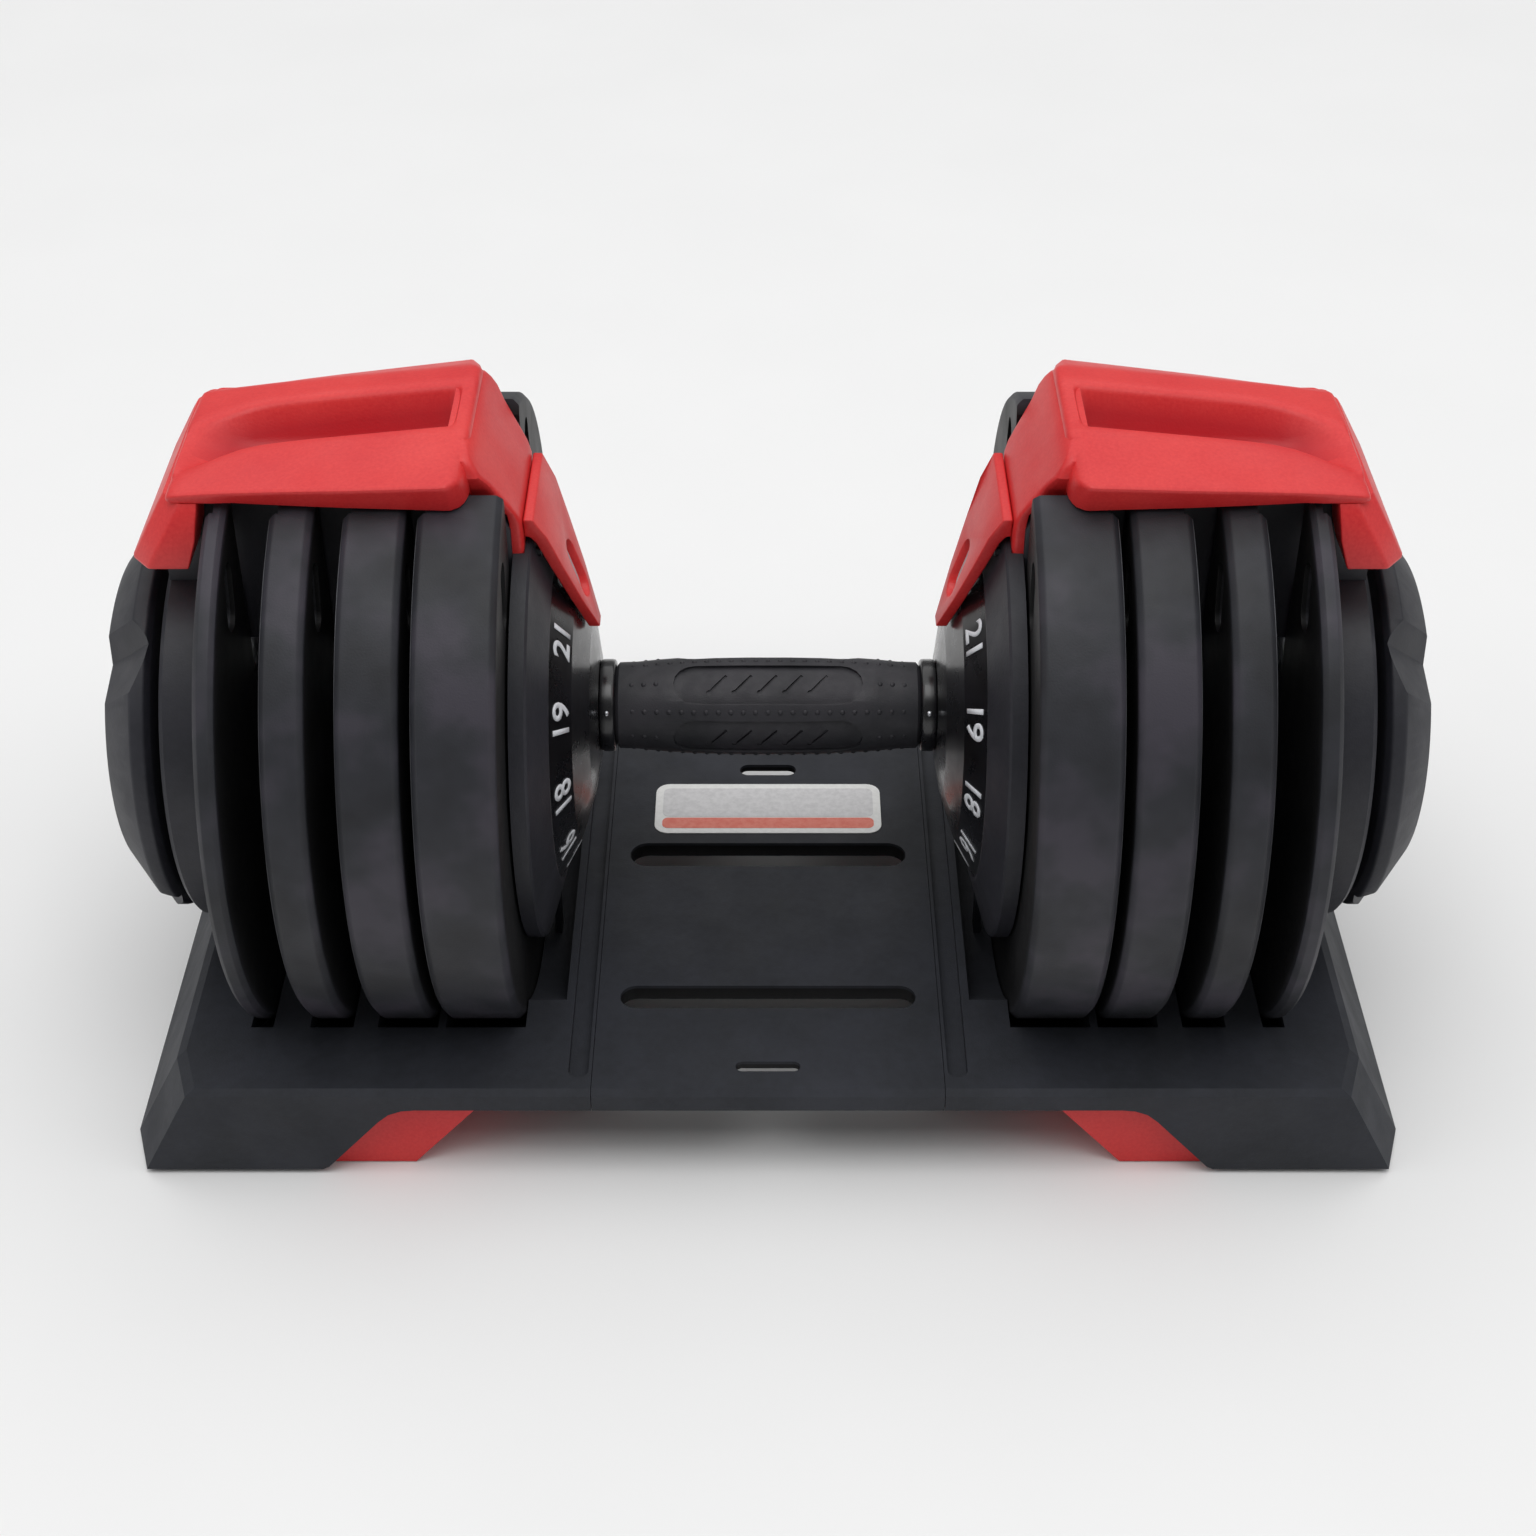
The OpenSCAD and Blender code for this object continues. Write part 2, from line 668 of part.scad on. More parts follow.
module tray_half(left) {
    bevel = 2;
    well_r = plate_r + slot_clear;
    slope = end_lean / (deck_h - pad_t);
    color(charcoal) flip(left)
    difference() {
        union() {
            difference() {
                hull() {
                    translate([0, 0, pad_t]) linear_extrude(0.1) tray_plan(floor_end, 0);
                    translate([0, 0, deck_h - bevel]) linear_extrude(0.1)
                        tray_plan(deck_end + bevel * slope, 0);
                    translate([0, 0, deck_h - 0.1]) linear_extrude(0.1) tray_plan(deck_end, bevel);
                }
                slab_y(-tray_half_y - 1, tray_half_y + 1) skirt_space();
                tray_pockets();
            }
            // Buckets under the wells of the inner plates and of the hub
            intersection() {
                at_axis() union() {
                    rod_x(well_r + bucket_wall, stack_x - 3.5, foot_x + 4);
                    rod_x(hub_well_r + bucket_wall, hub_well_x - bucket_wall, stack_x);
                }
                difference() {
                    box(deck_half + 1, foot_x + 5, -tray_half_y, tray_half_y, pad_t, skirt_h + 4);
                    box(lock_x - 4.1, lock_x + lock_t, -8.1, 8.1, 0, well_floor + 0.01);
                }
            }
            for (y = tab_y)
                box(deck_screw_x - 6, deck_half + 4, y - 6, y + 6, skirt_h + 0.5, skirt_h + 3.5);
        }
        // Wells for the plates
        for (i = [0 : 3])
            at_axis() rod_x(well_r, plate_x0(i) - slot_side, plate_x1(i) + slot_side);
        // Room for the outer hub and the knob, where they reach below the deck
        at_axis() rod_x(outer_hub_r + hub_clear, outer_hub_x - slot_side, outer_hub_back + hub_clear);
        at_axis() rod_x(knob_r + hub_clear, knob_x - hub_clear, floor_end + 1);
        // Hollow for the inner hub, with a slot for the post
        at_axis() rod_x(hub_well_r, hub_well_x, stack_x - slot_side);
        box(lock_x + 0.1, lock_x + lock_t - 0.1, -3.6, 3.6, well_floor - 1, deck_h);
        // Groove beside the centre deck
        translate([deck_half + 1.2 + groove_w / 2, 0, deck_h - 3])
            rotate([0, 0, 90]) oval(tray_half_y - 7, groove_w / 2, 5);
        for (y = tab_y) translate([deck_screw_x, y, 0]) cylinder(r = 1.8, h = deck_h);
        for (p = pad_points, s = [-1, 1]) translate([p[0], s * p[1], pad_t - 1]) cylinder(r = pad_r, h = 2);
    }
}

// Hollows under the foot, split by ribs
module tray_pockets() {
    top = min(deck_h, axis_h - max(outer_hub_r, knob_r) - hub_clear) - wall;
    x0 = foot_x + 4;
    x1 = deck_end - wall;
    rib_x = (x0 + x1) / 2;
    difference() {
        union() {
            for (s = [-1, 1], half = [0, 1]) {
                y0 = tray_half_y - 28 * scale_y;
                y1 = tray_half_y - wall;
                box(half == 0 ? x0 : rib_x + 1.5, half == 0 ? rib_x - 1.5 : x1,
                    s > 0 ? y0 : -y1, s > 0 ? y1 : -y0, 0, top);
            }
            for (k = [-1, 0, 1])
                box(plate_x1(3) + slot_side + wall, x1, (k * 50 - 23) * scale_y, (k * 50 + 23) * scale_y,
                    0, top);
        }
        for (p = pad_points, s = [-1, 1])
            translate([p[0], s * p[1], 0]) cylinder(r = pad_r + 3.5, h = top + 1);
    }
}

module foot_pads() {
    color(black) for (left = [false, true]) flip(left)
        for (p = pad_points, s = [-1, 1]) translate([p[0], s * p[1], 0]) cylinder(r = pad_r, h = pad_t + 1);
}

// Red runner between the foot and the space under the deck, with a low strap under the wells
module runner(left) {
    y = tray_half_y - runner_set_back;
    color(red) flip(left)
    difference() {
        slab_y(-y, y)
            intersection() {
                skirt_space();
                polygon([[foot_x - runner_w, 0.5], [foot_x + 1, 0.5], [foot_x + 1, skirt_h + 1],
                    [foot_slope_x - runner_w, skirt_h + 1], [foot_slope_x - runner_w, skirt_h]]);
            }
        at_axis() rod_x(plate_r + slot_clear + bucket_wall + 0.2, 0, foot_x + 10);
        box(stack_x - 8, foot_x + 10, -45, 45, pad_t - 0.2, skirt_h + 1);
    }
}

// Slots of the centre deck: half-length, half-width, Y. The long ones are walled, the short ones plain.
long_slots = [[deck_half - 7.5, 5.5, -62 * scale_y], [deck_half - 7.5, 6.5, 13 * scale_y]];
short_slots = [[10.5, 2.2, -95 * scale_y], [10.5, 3.2, 63 * scale_y]];

module center_deck() {
    bevel = 2;
    deck_t = 3;
    half = deck_half - seam;
    y = tray_half_y;
    color(charcoal)
    difference() {
        slab_x(-half, half)
            polygon([[-y, skirt_h], [y, skirt_h], [y, deck_h - bevel], [y - bevel, deck_h],
                [-y + bevel, deck_h], [-y, deck_h - bevel]]);
        difference() {
            box(-half + wall, half - wall, -y + wall, y - wall, skirt_h - 1, deck_h - deck_t);
            for (s = [-1, 1], t = tab_y)
                translate([s * deck_screw_x, t, skirt_h + 3.5]) cylinder(r = 4.5, h = deck_h);
            for (d = long_slots)
                translate([0, d[2], skirt_h + 2]) oval(d[0] + 1.6, d[1] + 1.6, deck_h);
        }
        for (s = [-1, 1], t = tab_y) {
            box(s > 0 ? deck_screw_x - 6.3 : -half - 1, s > 0 ? half + 1 : -deck_screw_x + 6.3,
                t - 6.3, t + 6.3, skirt_h - 1, skirt_h + 3.5);
            translate([s * deck_screw_x, t, skirt_h]) cylinder(r = 1.5, h = deck_h - skirt_h - 1.5);
        }
        for (d = concat(long_slots, short_slots))
            translate([0, d[2], skirt_h - 1]) oval(d[0], d[1], deck_h);
    }
}

module tray_screws() {
    color(steel) for (s = [-1, 1], y = tab_y) translate([s * deck_screw_x, y, 0]) {
        translate([0, 0, skirt_h - 1.7]) cylinder(r = 3.4, h = 2.2);
        translate([0, 0, skirt_h]) cylinder(r = 1.5, h = 6);
    }
}

// Pale label on the centre deck, a rounded rectangle
module deck_label() {
    label_half_x = deck_half - 15.5;
    label_y = [25 * scale_y, 54 * scale_y];
    label_r = 5;
    label_t = 0.4;
    color(pale) translate([0, 0, deck_h]) union() {
        box(-label_half_x + label_r, label_half_x - label_r, label_y[0], label_y[1], 0, label_t);
        box(-label_half_x, label_half_x, label_y[0] + label_r, label_y[1] - label_r, 0, label_t);
        for (s = [-1, 1], y = [label_y[0] + label_r, label_y[1] - label_r])
            translate([s * (label_half_x - label_r), y, 0]) cylinder(r = label_r, h = label_t);
    }
}

// ---- Assembly ------------------------------------------------------------------------------

tray_half(true);  // tray_left
tray_half(false);  // tray_right
center_deck();
deck_label();
runner(true);  // runner_left
runner(false);  // runner_right
foot_pads();
tray_screws();
release_posts();
inner_hub(true);  // inner_hub_left
inner_hub(false);  // inner_hub_right
outer_hub(true);  // outer_hub_left
outer_hub(false);  // outer_hub_right
saddle(true);  // saddle_left
saddle(false);  // saddle_right
pointer(true);  // pointer_left
pointer(false);  // pointer_right
pointer_lenses();
frame_screws();
lock_spring(true);  // lock_spring_left
lock_spring(false);  // lock_spring_right
axle_rod();
handle_tube();
grip();
collar(true);  // collar_left
collar(false);  // collar_right
number_ring(true);  // number_ring_left
number_ring(false);  // number_ring_right
selector_sleeve(true);  // selector_sleeve_left
selector_sleeve(false);  // selector_sleeve_right
selector_discs(true);  // selector_discs_left
selector_discs(false);  // selector_discs_right
lock_wheels();
knob(true);  // knob_left
knob(false);  // knob_right
axle_nuts();
knob_cap(true);  // knob_cap_left
knob_cap(false);  // knob_cap_right
lock_slider(true);  // lock_slider_left
lock_slider(false);  // lock_slider_right
at_axis() flip(true) plate_core(0);  // plate_left_1_core
at_axis() flip(true) plate_core(1);  // plate_left_2_core
at_axis() flip(true) plate_core(2);  // plate_left_3_core
at_axis() flip(true) plate_core(3);  // plate_left_4_core
at_axis() plate_core(0);  // plate_right_1_core
at_axis() plate_core(1);  // plate_right_2_core
at_axis() plate_core(2);  // plate_right_3_core
at_axis() plate_core(3);  // plate_right_4_core
at_axis() flip(true) plate_cover(0);  // plate_left_1_cover
at_axis() flip(true) plate_cover(1);  // plate_left_2_cover
at_axis() flip(true) plate_cover(2);  // plate_left_3_cover
at_axis() flip(true) plate_cover(3);  // plate_left_4_cover
at_axis() plate_cover(0);  // plate_right_1_cover
at_axis() plate_cover(1);  // plate_right_2_cover
at_axis() plate_cover(2);  // plate_right_3_cover
at_axis() plate_cover(3);  // plate_right_4_cover
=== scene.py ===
import json
import math

import bmesh
import bpy
from bpy.props import FloatProperty, PointerProperty
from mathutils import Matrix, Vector


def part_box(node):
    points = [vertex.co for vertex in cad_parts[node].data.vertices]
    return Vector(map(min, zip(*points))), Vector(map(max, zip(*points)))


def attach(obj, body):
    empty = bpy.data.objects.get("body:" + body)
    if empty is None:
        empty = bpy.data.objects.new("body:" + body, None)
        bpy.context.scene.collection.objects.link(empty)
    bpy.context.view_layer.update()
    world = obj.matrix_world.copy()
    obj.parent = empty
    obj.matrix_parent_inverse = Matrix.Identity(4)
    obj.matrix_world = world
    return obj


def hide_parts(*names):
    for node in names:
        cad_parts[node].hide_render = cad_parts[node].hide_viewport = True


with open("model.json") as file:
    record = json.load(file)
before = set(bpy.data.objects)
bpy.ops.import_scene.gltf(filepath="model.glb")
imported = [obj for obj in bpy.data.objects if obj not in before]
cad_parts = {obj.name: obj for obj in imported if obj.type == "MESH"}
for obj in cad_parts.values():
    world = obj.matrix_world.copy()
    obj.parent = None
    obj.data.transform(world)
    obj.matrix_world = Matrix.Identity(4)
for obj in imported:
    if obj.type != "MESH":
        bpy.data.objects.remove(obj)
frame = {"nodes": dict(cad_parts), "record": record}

bl_info = {
    "name": "Adjustable dumbbell",
    "version": (1, 0, 0),
    "blender": (4, 5, 0),
    "location": "View3D > Sidebar > Dumbbell",
    "description": "Dresses the adjustable dumbbell and its tray in finished pieces",
    "category": "Add Mesh",
}

# ---- Measures in metres: those of the frame, then two set here ------------------------------

MM = 0.001


def span(node):
    """Lowest and highest corner of a node at rest."""
    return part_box(node)


AXIS_Z = sum(v.z for v in span("axle_rod")) / 2
GRIP_HALF = span("grip")[1].x
GRIP_R = span("grip")[1].y
COLLAR_R = span("collar_right")[1].y
RING_X = span("number_ring_right")[0].x
RING_R = span("number_ring_right")[1].y
PLATE_R = span("plate_right_1_cover")[1].y
DECK_Z = span("center_deck")[1].z
DECK_HALF = span("center_deck")[1].x

BORE_R = 0.0122         # hollow of the grip and collars, just inside the handle tube's surface
LEVEL = 0.00002         # most that two ends of an edge round the axis differ along it


def linear(code):
    """Linear colour of a hex code such as a1b2c3."""
    parts = [int(code[i:i + 2], 16) / 255 for i in (0, 2, 4)]
    return tuple(c / 12.92 if c <= 0.04045 else ((c + 0.055) / 1.055) ** 2.4 for c in parts)


# ---- Materials --------------------------------------------------------------------------------

class Wire:
    """One socket of a finish. Sums and products with it add Math nodes."""

    def __init__(self, finish, socket):
        self.finish = finish
        self.socket = socket

    def maths(self, operation, a, b=None):
        values = {0: a} if b is None else {0: a, 1: b}
        return self.finish.add("ShaderNodeMath", {"operation": operation}, values)["Value"]

    def __add__(self, other):
        return self.maths("ADD", self, other)

    def __radd__(self, other):
        return self.maths("ADD", other, self)

    def __sub__(self, other):
        return self.maths("SUBTRACT", self, other)

    def __rsub__(self, other):
        return self.maths("SUBTRACT", other, self)

    def __mul__(self, other):
        return self.maths("MULTIPLY", self, other)

    def __rmul__(self, other):
        return self.maths("MULTIPLY", other, self)

    def __gt__(self, other):
        return self.maths("GREATER_THAN", self, other)

    def __lt__(self, other):
        return self.maths("LESS_THAN", self, other)

    def size(self):
        return self.maths("ABSOLUTE", self)


class Finish:
    """A procedural material on one Principled shader."""

    def __init__(self, name, **constants):
        self.material = bpy.data.materials.new(name)
        self.material.use_nodes = True
        self.tree = self.material.node_tree
        self.tree.nodes.clear()
        self.shader = self.tree.nodes.new("ShaderNodeBsdfPrincipled")
        out = self.tree.nodes.new("ShaderNodeOutputMaterial")
        self.tree.links.new(self.shader.outputs["BSDF"], out.inputs["Surface"])
        for socket, value in constants.items():
            self.set(socket.replace("_", " ").title(), value)
        self.place = self.add("ShaderNodeTexCoord", {}, {})["Object"]

    def plug(self, socket, value):
        if isinstance(value, Wire):
            self.tree.links.new(value.socket, socket)
        elif hasattr(value, "__len__") and len(value) == 3 and len(socket.default_value) == 4:
            socket.default_value = (*value, 1)
        else:
            socket.default_value = value

    def set(self, name, value):
        self.plug(self.shader.inputs[name.replace("Ior", "IOR")], value)

    def add(self, kind, settings, values):
        """Adds a node: its settings first, then its sockets. Returns its outputs by name."""
        node = self.tree.nodes.new(kind)
        for name, value in settings.items():
            if name == "stops":
                ramp = node.color_ramp
                for i, (place, colour) in enumerate(value):
                    stop = ramp.elements[i] if i < 2 else ramp.elements.new(place)
                    stop.position = place
                    stop.color = (*colour, 1)
            else:
                setattr(node, name, value)
        for name, value in values.items():
            self.plug(node.inputs[name], value)
        return {o.name: Wire(self, o) for o in node.outputs if o.enabled}

    def noise(self, scale, detail, rough, stretch=None):
        place = self.place
        if stretch:
            place = self.add("ShaderNodeMapping", {}, {"Vector": place, "Scale": stretch})["Vector"]
        return self.add("ShaderNodeTexNoise", {}, {"Vector": place, "Scale": scale,
            "Detail": detail, "Roughness": rough})["Fac"]

    def ramp(self, value, *stops):
        return self.add("ShaderNodeValToRGB", {"stops": stops}, {"Fac": value})["Color"]

    def fade(self, value, low, high, start=0.0, end=1.0):
        """Value mapped from low..high to start..end, and held at the ends."""
        return self.add("ShaderNodeMapRange", {"clamp": True}, {"Value": value, "From Min": low,
            "From Max": high, "To Min": start, "To Max": end})["Result"]

    def blend(self, factor, first, second):
        node = self.tree.nodes.new("ShaderNodeMix")
        node.data_type = "RGBA"
        self.plug(node.inputs[0], factor)
        self.plug(node.inputs[6], first)
        self.plug(node.inputs[7], second)
        return Wire(self, node.outputs[2])

    def tint(self, factor, first, second):
        """Blend of two hex colours."""
        return self.blend(factor, linear(first), linear(second))

    def clouds(self, scale, detail):
        """Soft patches from 0 to 1."""
        return self.fade(self.noise(scale, detail, 0.6), 0.35, 0.65)

    def gloss(self, scale, detail, rough, low, high):
        """Roughness that wanders between two values."""
        self.set("Roughness", self.fade(self.noise(scale, detail, rough), 0.3, 0.7, low, high))

    def axis(self, name):
        return self.add("ShaderNodeSeparateXYZ", {}, {"Vector": self.place})[name]

    def relief(self, height, depth):
        self.set("Normal", self.add("ShaderNodeBump", {}, {"Height": height,
            "Distance": depth})["Normal"])


FINISHES = {}


def finish(maker):
    """Keeps one copy of each finish, made when it is first asked for."""
    def wrapped(*args):
        key = (maker.__name__,) + args
        if key not in FINISHES:
            FINISHES[key] = maker(*args).material
        return FINISHES[key]
    return wrapped


def grained(name, rough):
    """Moulded plastic before its colour: fine grain and slightly uneven gloss."""
    f = Finish(name, specular_ior_level=0.42)
    f.gloss(60, 3, 0.6, rough - 0.05, rough + 0.07)
    f.relief(f.noise(1500, 2, 0.5) + f.noise(340, 2, 0.5) * 0.5, 0.00006)
    return f


def moulded(name, dark, light, rough):
    """Moulded plastic with a soft cloudy tone, which it keeps as plain."""
    f = grained(name, rough)
    tone = f.fade(f.noise(26, 4, 0.6) * 0.75 + f.noise(420, 2, 0.5) * 0.25, 0.36, 0.64)
    f.plain = f.tint(tone, dark, light)
    f.set("Base Color", f.plain)
    return f


@finish
def plate_plastic():
    """Dark moulded covers. The flat flanks, in from the rim, are darker still, as painted shade for
    the gaps between the plates.
    """
    f = grained("plate_plastic", 0.55)
    y, z = f.axis("Y"), f.axis("Z") - AXIS_Z
    reach = f.add("ShaderNodeMath", {"operation": "SQRT"}, {0: y * y + z * z})["Value"]
    rim = f.fade(reach, PLATE_R - 0.0045, PLATE_R - 0.0012)
    rim_tone = f.ramp(f.noise(32, 3, 0.55), (0.36, linear("1b1c21")), (0.5, linear("25262c")),
        (0.64, linear("36333c")))
    # Painted shade: near black on the flanks, from the rim's band inwards, for the narrow gaps
    # between the plates
    f.set("Base Color", f.blend(rim, linear("0b0b0d"), rim_tone))
    return f


@finish
def tray_plastic():
    """Dark moulded tray. Its slots and hollows are darker, as painted shade."""
    f = moulded("tray_plastic", "24262b", "2d2f36", 0.6)
    f.set("Specular IOR Level", 0.3)
    # Painted shade: near black below the deck's top in the middle of the tray, in its slots and
    # hollows
    below = f.axis("Z") < DECK_Z - 1.2 * MM
    inside = f.axis("X").size() < DECK_HALF - 4 * MM
    near = f.axis("Y").size() < 95 * MM
    f.set("Base Color", f.blend(below * inside * near, f.plain, linear("08080a")))
    return f


@finish
def hub_plastic():
    return moulded("hub_plastic", "1f2026", "2a2a31", 0.5)


@finish
def knob_plastic():
    return moulded("knob_plastic", "1e1f25", "2b2b32", 0.54)


@finish
def red_plastic():
    f = Finish("red_plastic", specular_ior_level=0.45)
    tone = f.fade(f.noise(22, 4, 0.55) * 0.6 + f.noise(900, 2, 0.5) * 0.4, 0.36, 0.64)
    # Painted shade: the red is deeper in the saddles' troughs, below a crest that falls away from
    # the grip
    out, across, up = f.axis("X").size(), f.axis("Y").size(), f.axis("Z")
    crest = AXIS_Z + 116 * MM - (out - 96 * MM) * 0.11
    trough_shade = f.fade(crest - up, 2 * MM, 8 * MM) * (across < 12.4 * MM)
    trough_shade = trough_shade * (out > 94 * MM) * (out < 178 * MM) * (up > AXIS_Z + 95 * MM)
    plain = f.tint(tone, "cc2227", "d93634")
    f.set("Base Color", f.blend(trough_shade, plain, linear("b5141f")))
    f.gloss(50, 3, 0.6, 0.38, 0.5)
    f.relief(f.noise(1300, 2, 0.5), 0.00005)
    return f


@finish
def gloss_black():
    f = Finish("gloss_black", specular_ior_level=0.5, coat_roughness=0.12)
    f.set("Base Color", f.tint(f.clouds(60, 3), "0c0c0e", "141418"))
    f.set("Roughness", f.fade(f.noise(90, 4, 0.65), 0.35, 0.7, 0.24, 0.36))
    f.set("Coat Weight", 0.25)
    f.relief(f.noise(700, 2, 0.5), 0.000012)
    return f


@finish
def grip_rubber():
    f = Finish("grip_rubber", specular_ior_level=0.4)
    f.set("Base Color", f.tint(f.clouds(45, 4), "202125", "302f34"))
    f.gloss(240, 3, 0.6, 0.5, 0.66)
    f.relief(f.noise(1900, 2, 0.6), 0.00007)
    return f


@finish
def pad_rubber():
    f = Finish("pad_rubber", specular_ior_level=0.3)
    f.set("Base Color", f.tint(f.noise(160, 3, 0.6), "151517", "232326"))
    f.gloss(300, 3, 0.6, 0.72, 0.88)
    f.relief(f.noise(1500, 2, 0.6), 0.0001)
    return f


@finish
def zinc_steel():
    f = Finish("zinc_steel", metallic=1.0)
    lines = f.noise(300, 3, 0.6, (0.15, 6, 6))
    f.set("Base Color", f.tint(f.fade(lines, 0.35, 0.65), "a2a5aa", "c6c8cc"))
    f.gloss(70, 3, 0.6, 0.26, 0.42)
    f.relief(lines, 0.00002)
    return f


@finish
def black_steel():
    f = Finish("black_steel", metallic=0.6)
    f.set("Base Color", f.tint(f.noise(500, 3, 0.6), "151517", "26262a"))
    f.gloss(300, 3, 0.6, 0.36, 0.5)
    return f


@finish
def spring_steel():
    f = Finish("spring_steel", metallic=1.0)
    f.set("Base Color", f.tint(f.noise(900, 3, 0.6), "8f9298", "c9ccd0"))
    f.gloss(500, 3, 0.6, 0.2, 0.34)
    return f


@finish
def cast_iron():
    f = Finish("cast_iron", metallic=0.85)
    pits = f.noise(650, 4, 0.65)
    f.set("Base Color", f.tint(f.clouds(40, 4), "3c3d40", "545559"))
    f.set("Roughness", f.fade(pits, 0.3, 0.7, 0.5, 0.68))
    f.relief(pits, 0.00018)
    return f


@finish
def lens_plastic():
    f = Finish("lens_plastic", specular_ior_level=0.5)
    f.set("Base Color", f.tint(f.noise(220, 2, 0.5), "c8c8ca", "dededf"))
    f.gloss(160, 3, 0.6, 0.12, 0.24)
    return f


@finish
def white_print():
    f = Finish("white_print", specular_ior_level=0.4)
    f.set("Base Color", f.tint(f.noise(700, 3, 0.6), "c9ccd2", "e4e6ea"))
    f.gloss(900, 2, 0.5, 0.4, 0.55)
    return f


@finish
def label_film(tint):
    f = Finish("label_film_" + tint, specular_ior_level=0.4)
    low, high = {"white": ("f0f0ee", "f9f9f7"), "grey": ("d8d7d8", "e6e5e6"),
        "coral": ("ee7a68", "f48e7c")}[tint]
    f.set("Base Color", f.tint(f.clouds(500, 3), low, high))
    f.gloss(120, 3, 0.6, 0.36, 0.5)
    f.relief(f.noise(160, 2, 0.5), 0.00003)
    return f


@finish
def backdrop_paper():
    f = Finish("backdrop_paper", specular_ior_level=0.1)
    f.set("Base Color", f.tint(f.noise(9, 2, 0.5), "ebebeb", "efefef"))
    f.set("Roughness", 0.9)
    return f


# ---- Shaping helpers -----------------------------------------------------------------------------

def deselect():
    bpy.ops.object.select_all(action="DESELECT")


def pick(piece):
    deselect()
    piece.select_set(True)
    bpy.context.view_layer.objects.active = piece


def edit(piece):
    pick(piece)
    bpy.ops.object.mode_set(mode="EDIT")


def done():
    bpy.ops.object.mode_set(mode="OBJECT")


def settle(piece):
    """Puts the piece's place in its mesh, so that its object sits at the origin."""
    pick(piece)
    bpy.ops.object.transform_apply(location=True, rotation=True, scale=True)


def outward(piece, merge=0.000004):
    edit(piece)
    bpy.ops.mesh.select_all(action="SELECT")
    bpy.ops.mesh.remove_doubles(threshold=merge)
    bpy.ops.mesh.normals_make_consistent(inside=False)
    done()


def modify(piece, kind, **settings):
    pick(piece)
    modifier = piece.modifiers.new(kind.title(), kind)
    for name, value in settings.items():
        setattr(modifier, name, value)
    bpy.ops.object.modifier_apply(modifier=modifier.name)


def soften(piece, width, segments, angle):
    """Rounds every edge sharper than the angle."""
    modify(piece, "BEVEL", width=width, segments=segments, limit_method="ANGLE",
        angle_limit=math.radians(angle), use_clamp_overlap=True, harden_normals=False,
        miter_outer="MITER_ARC")


def smooth(piece, angle):
    pick(piece)
    bpy.ops.object.shade_smooth_by_angle(angle=math.radians(angle))


def cut(piece, tool, solver="EXACT"):
    modify(piece, "BOOLEAN", operation="DIFFERENCE", solver=solver, object=tool)
    bpy.data.objects.remove(tool, do_unlink=True)


def join(piece, *others):
    pick(piece)
    for other in others:
        other.select_set(True)
    bpy.ops.object.join()
    return piece


def turned(name, profile, sides):
    """Solid of revolution about the handle's axis, drawn out ring by ring. Profile: (radius, x)."""
    deselect()
    r, x = profile[0]
    bpy.ops.mesh.primitive_circle_add(vertices=sides, radius=r, location=(x, 0, AXIS_Z),
        rotation=(0, math.pi / 2, 0))
    piece = bpy.context.active_object
    piece.name = name
    settle(piece)
    edit(piece)
    bpy.ops.mesh.select_all(action="SELECT")
    bpy.ops.mesh.edge_face_add()
    bpy.ops.mesh.select_all(action="SELECT")
    for nr, nx in profile[1:]:
        bpy.ops.mesh.extrude_region_move(TRANSFORM_OT_translate={"value": (nx - x, 0, 0)})
        bpy.ops.transform.resize(value=(1, nr / r, nr / r), center_override=(nx, 0, AXIS_Z))
        r, x = nr, nx
    done()
    outward(piece)
    return piece


def skin(name, points, faces):
    """A new piece from points and faces."""
    mesh = bpy.data.meshes.new(name)
    mesh.from_pydata(points, [], faces)
    piece = bpy.data.objects.new(name, mesh)
    bpy.context.collection.objects.link(piece)
    outward(piece)
    return piece


def slab(name, corners, along, start, end):
    """Prism: corners in the plane square to an axis (x, y or z), from start to end along it."""
    def at(a, b, t):
        return {"x": (t, a, b), "y": (a, t, b), "z": (a, b, t)}[along]

    n = len(corners)
    points = [at(a, b, start) for a, b in corners] + [at(a, b, end) for a, b in corners]
    faces = [tuple(range(n)), tuple(range(2 * n - 1, n - 1, -1))]
    faces += [(i, (i + 1) % n, n + (i + 1) % n, n + i) for i in range(n)]
    return skin(name, points, faces)


def loft(name, loops):
    """Skin through loops of equal count, with both ends filled. Each loop is a list of points."""
    n = len(loops[0])
    faces = [(j * n + i, j * n + (i + 1) % n, (j + 1) * n + (i + 1) % n, (j + 1) * n + i)
        for j in range(len(loops) - 1) for i in range(n)]
    faces += [tuple(range(n)), tuple(range(len(loops) * n - 1, (len(loops) - 1) * n - 1, -1))]
    return skin(name, [p for loop in loops for p in loop], faces)


def on_axis(points):
    """Points in millimetres from the handle's axis, as points in the frame."""
    return [(x * MM, y * MM, AXIS_Z + z * MM) for x, y, z in points]


def round_edges(piece, test, width):
    """Rounds the edges that pass the test."""
    edit(piece)
    bpy.ops.mesh.select_mode(type="EDGE")
    bpy.ops.mesh.select_all(action="DESELECT")
    mesh = bmesh.from_edit_mesh(piece.data)
    for e in mesh.edges:
        if len(e.link_faces) == 2 and test(e):
            e.select_set(True)
    bmesh.update_edit_mesh(piece.data)
    bpy.ops.mesh.bevel(offset=width, segments=3, affect="EDGES", clamp_overlap=True)
    bpy.ops.mesh.select_mode(type="VERT")
    done()


def off_axis(v):
    """Distance of a point from the handle's axis."""
    return math.hypot(v.y, v.z - AXIS_Z)


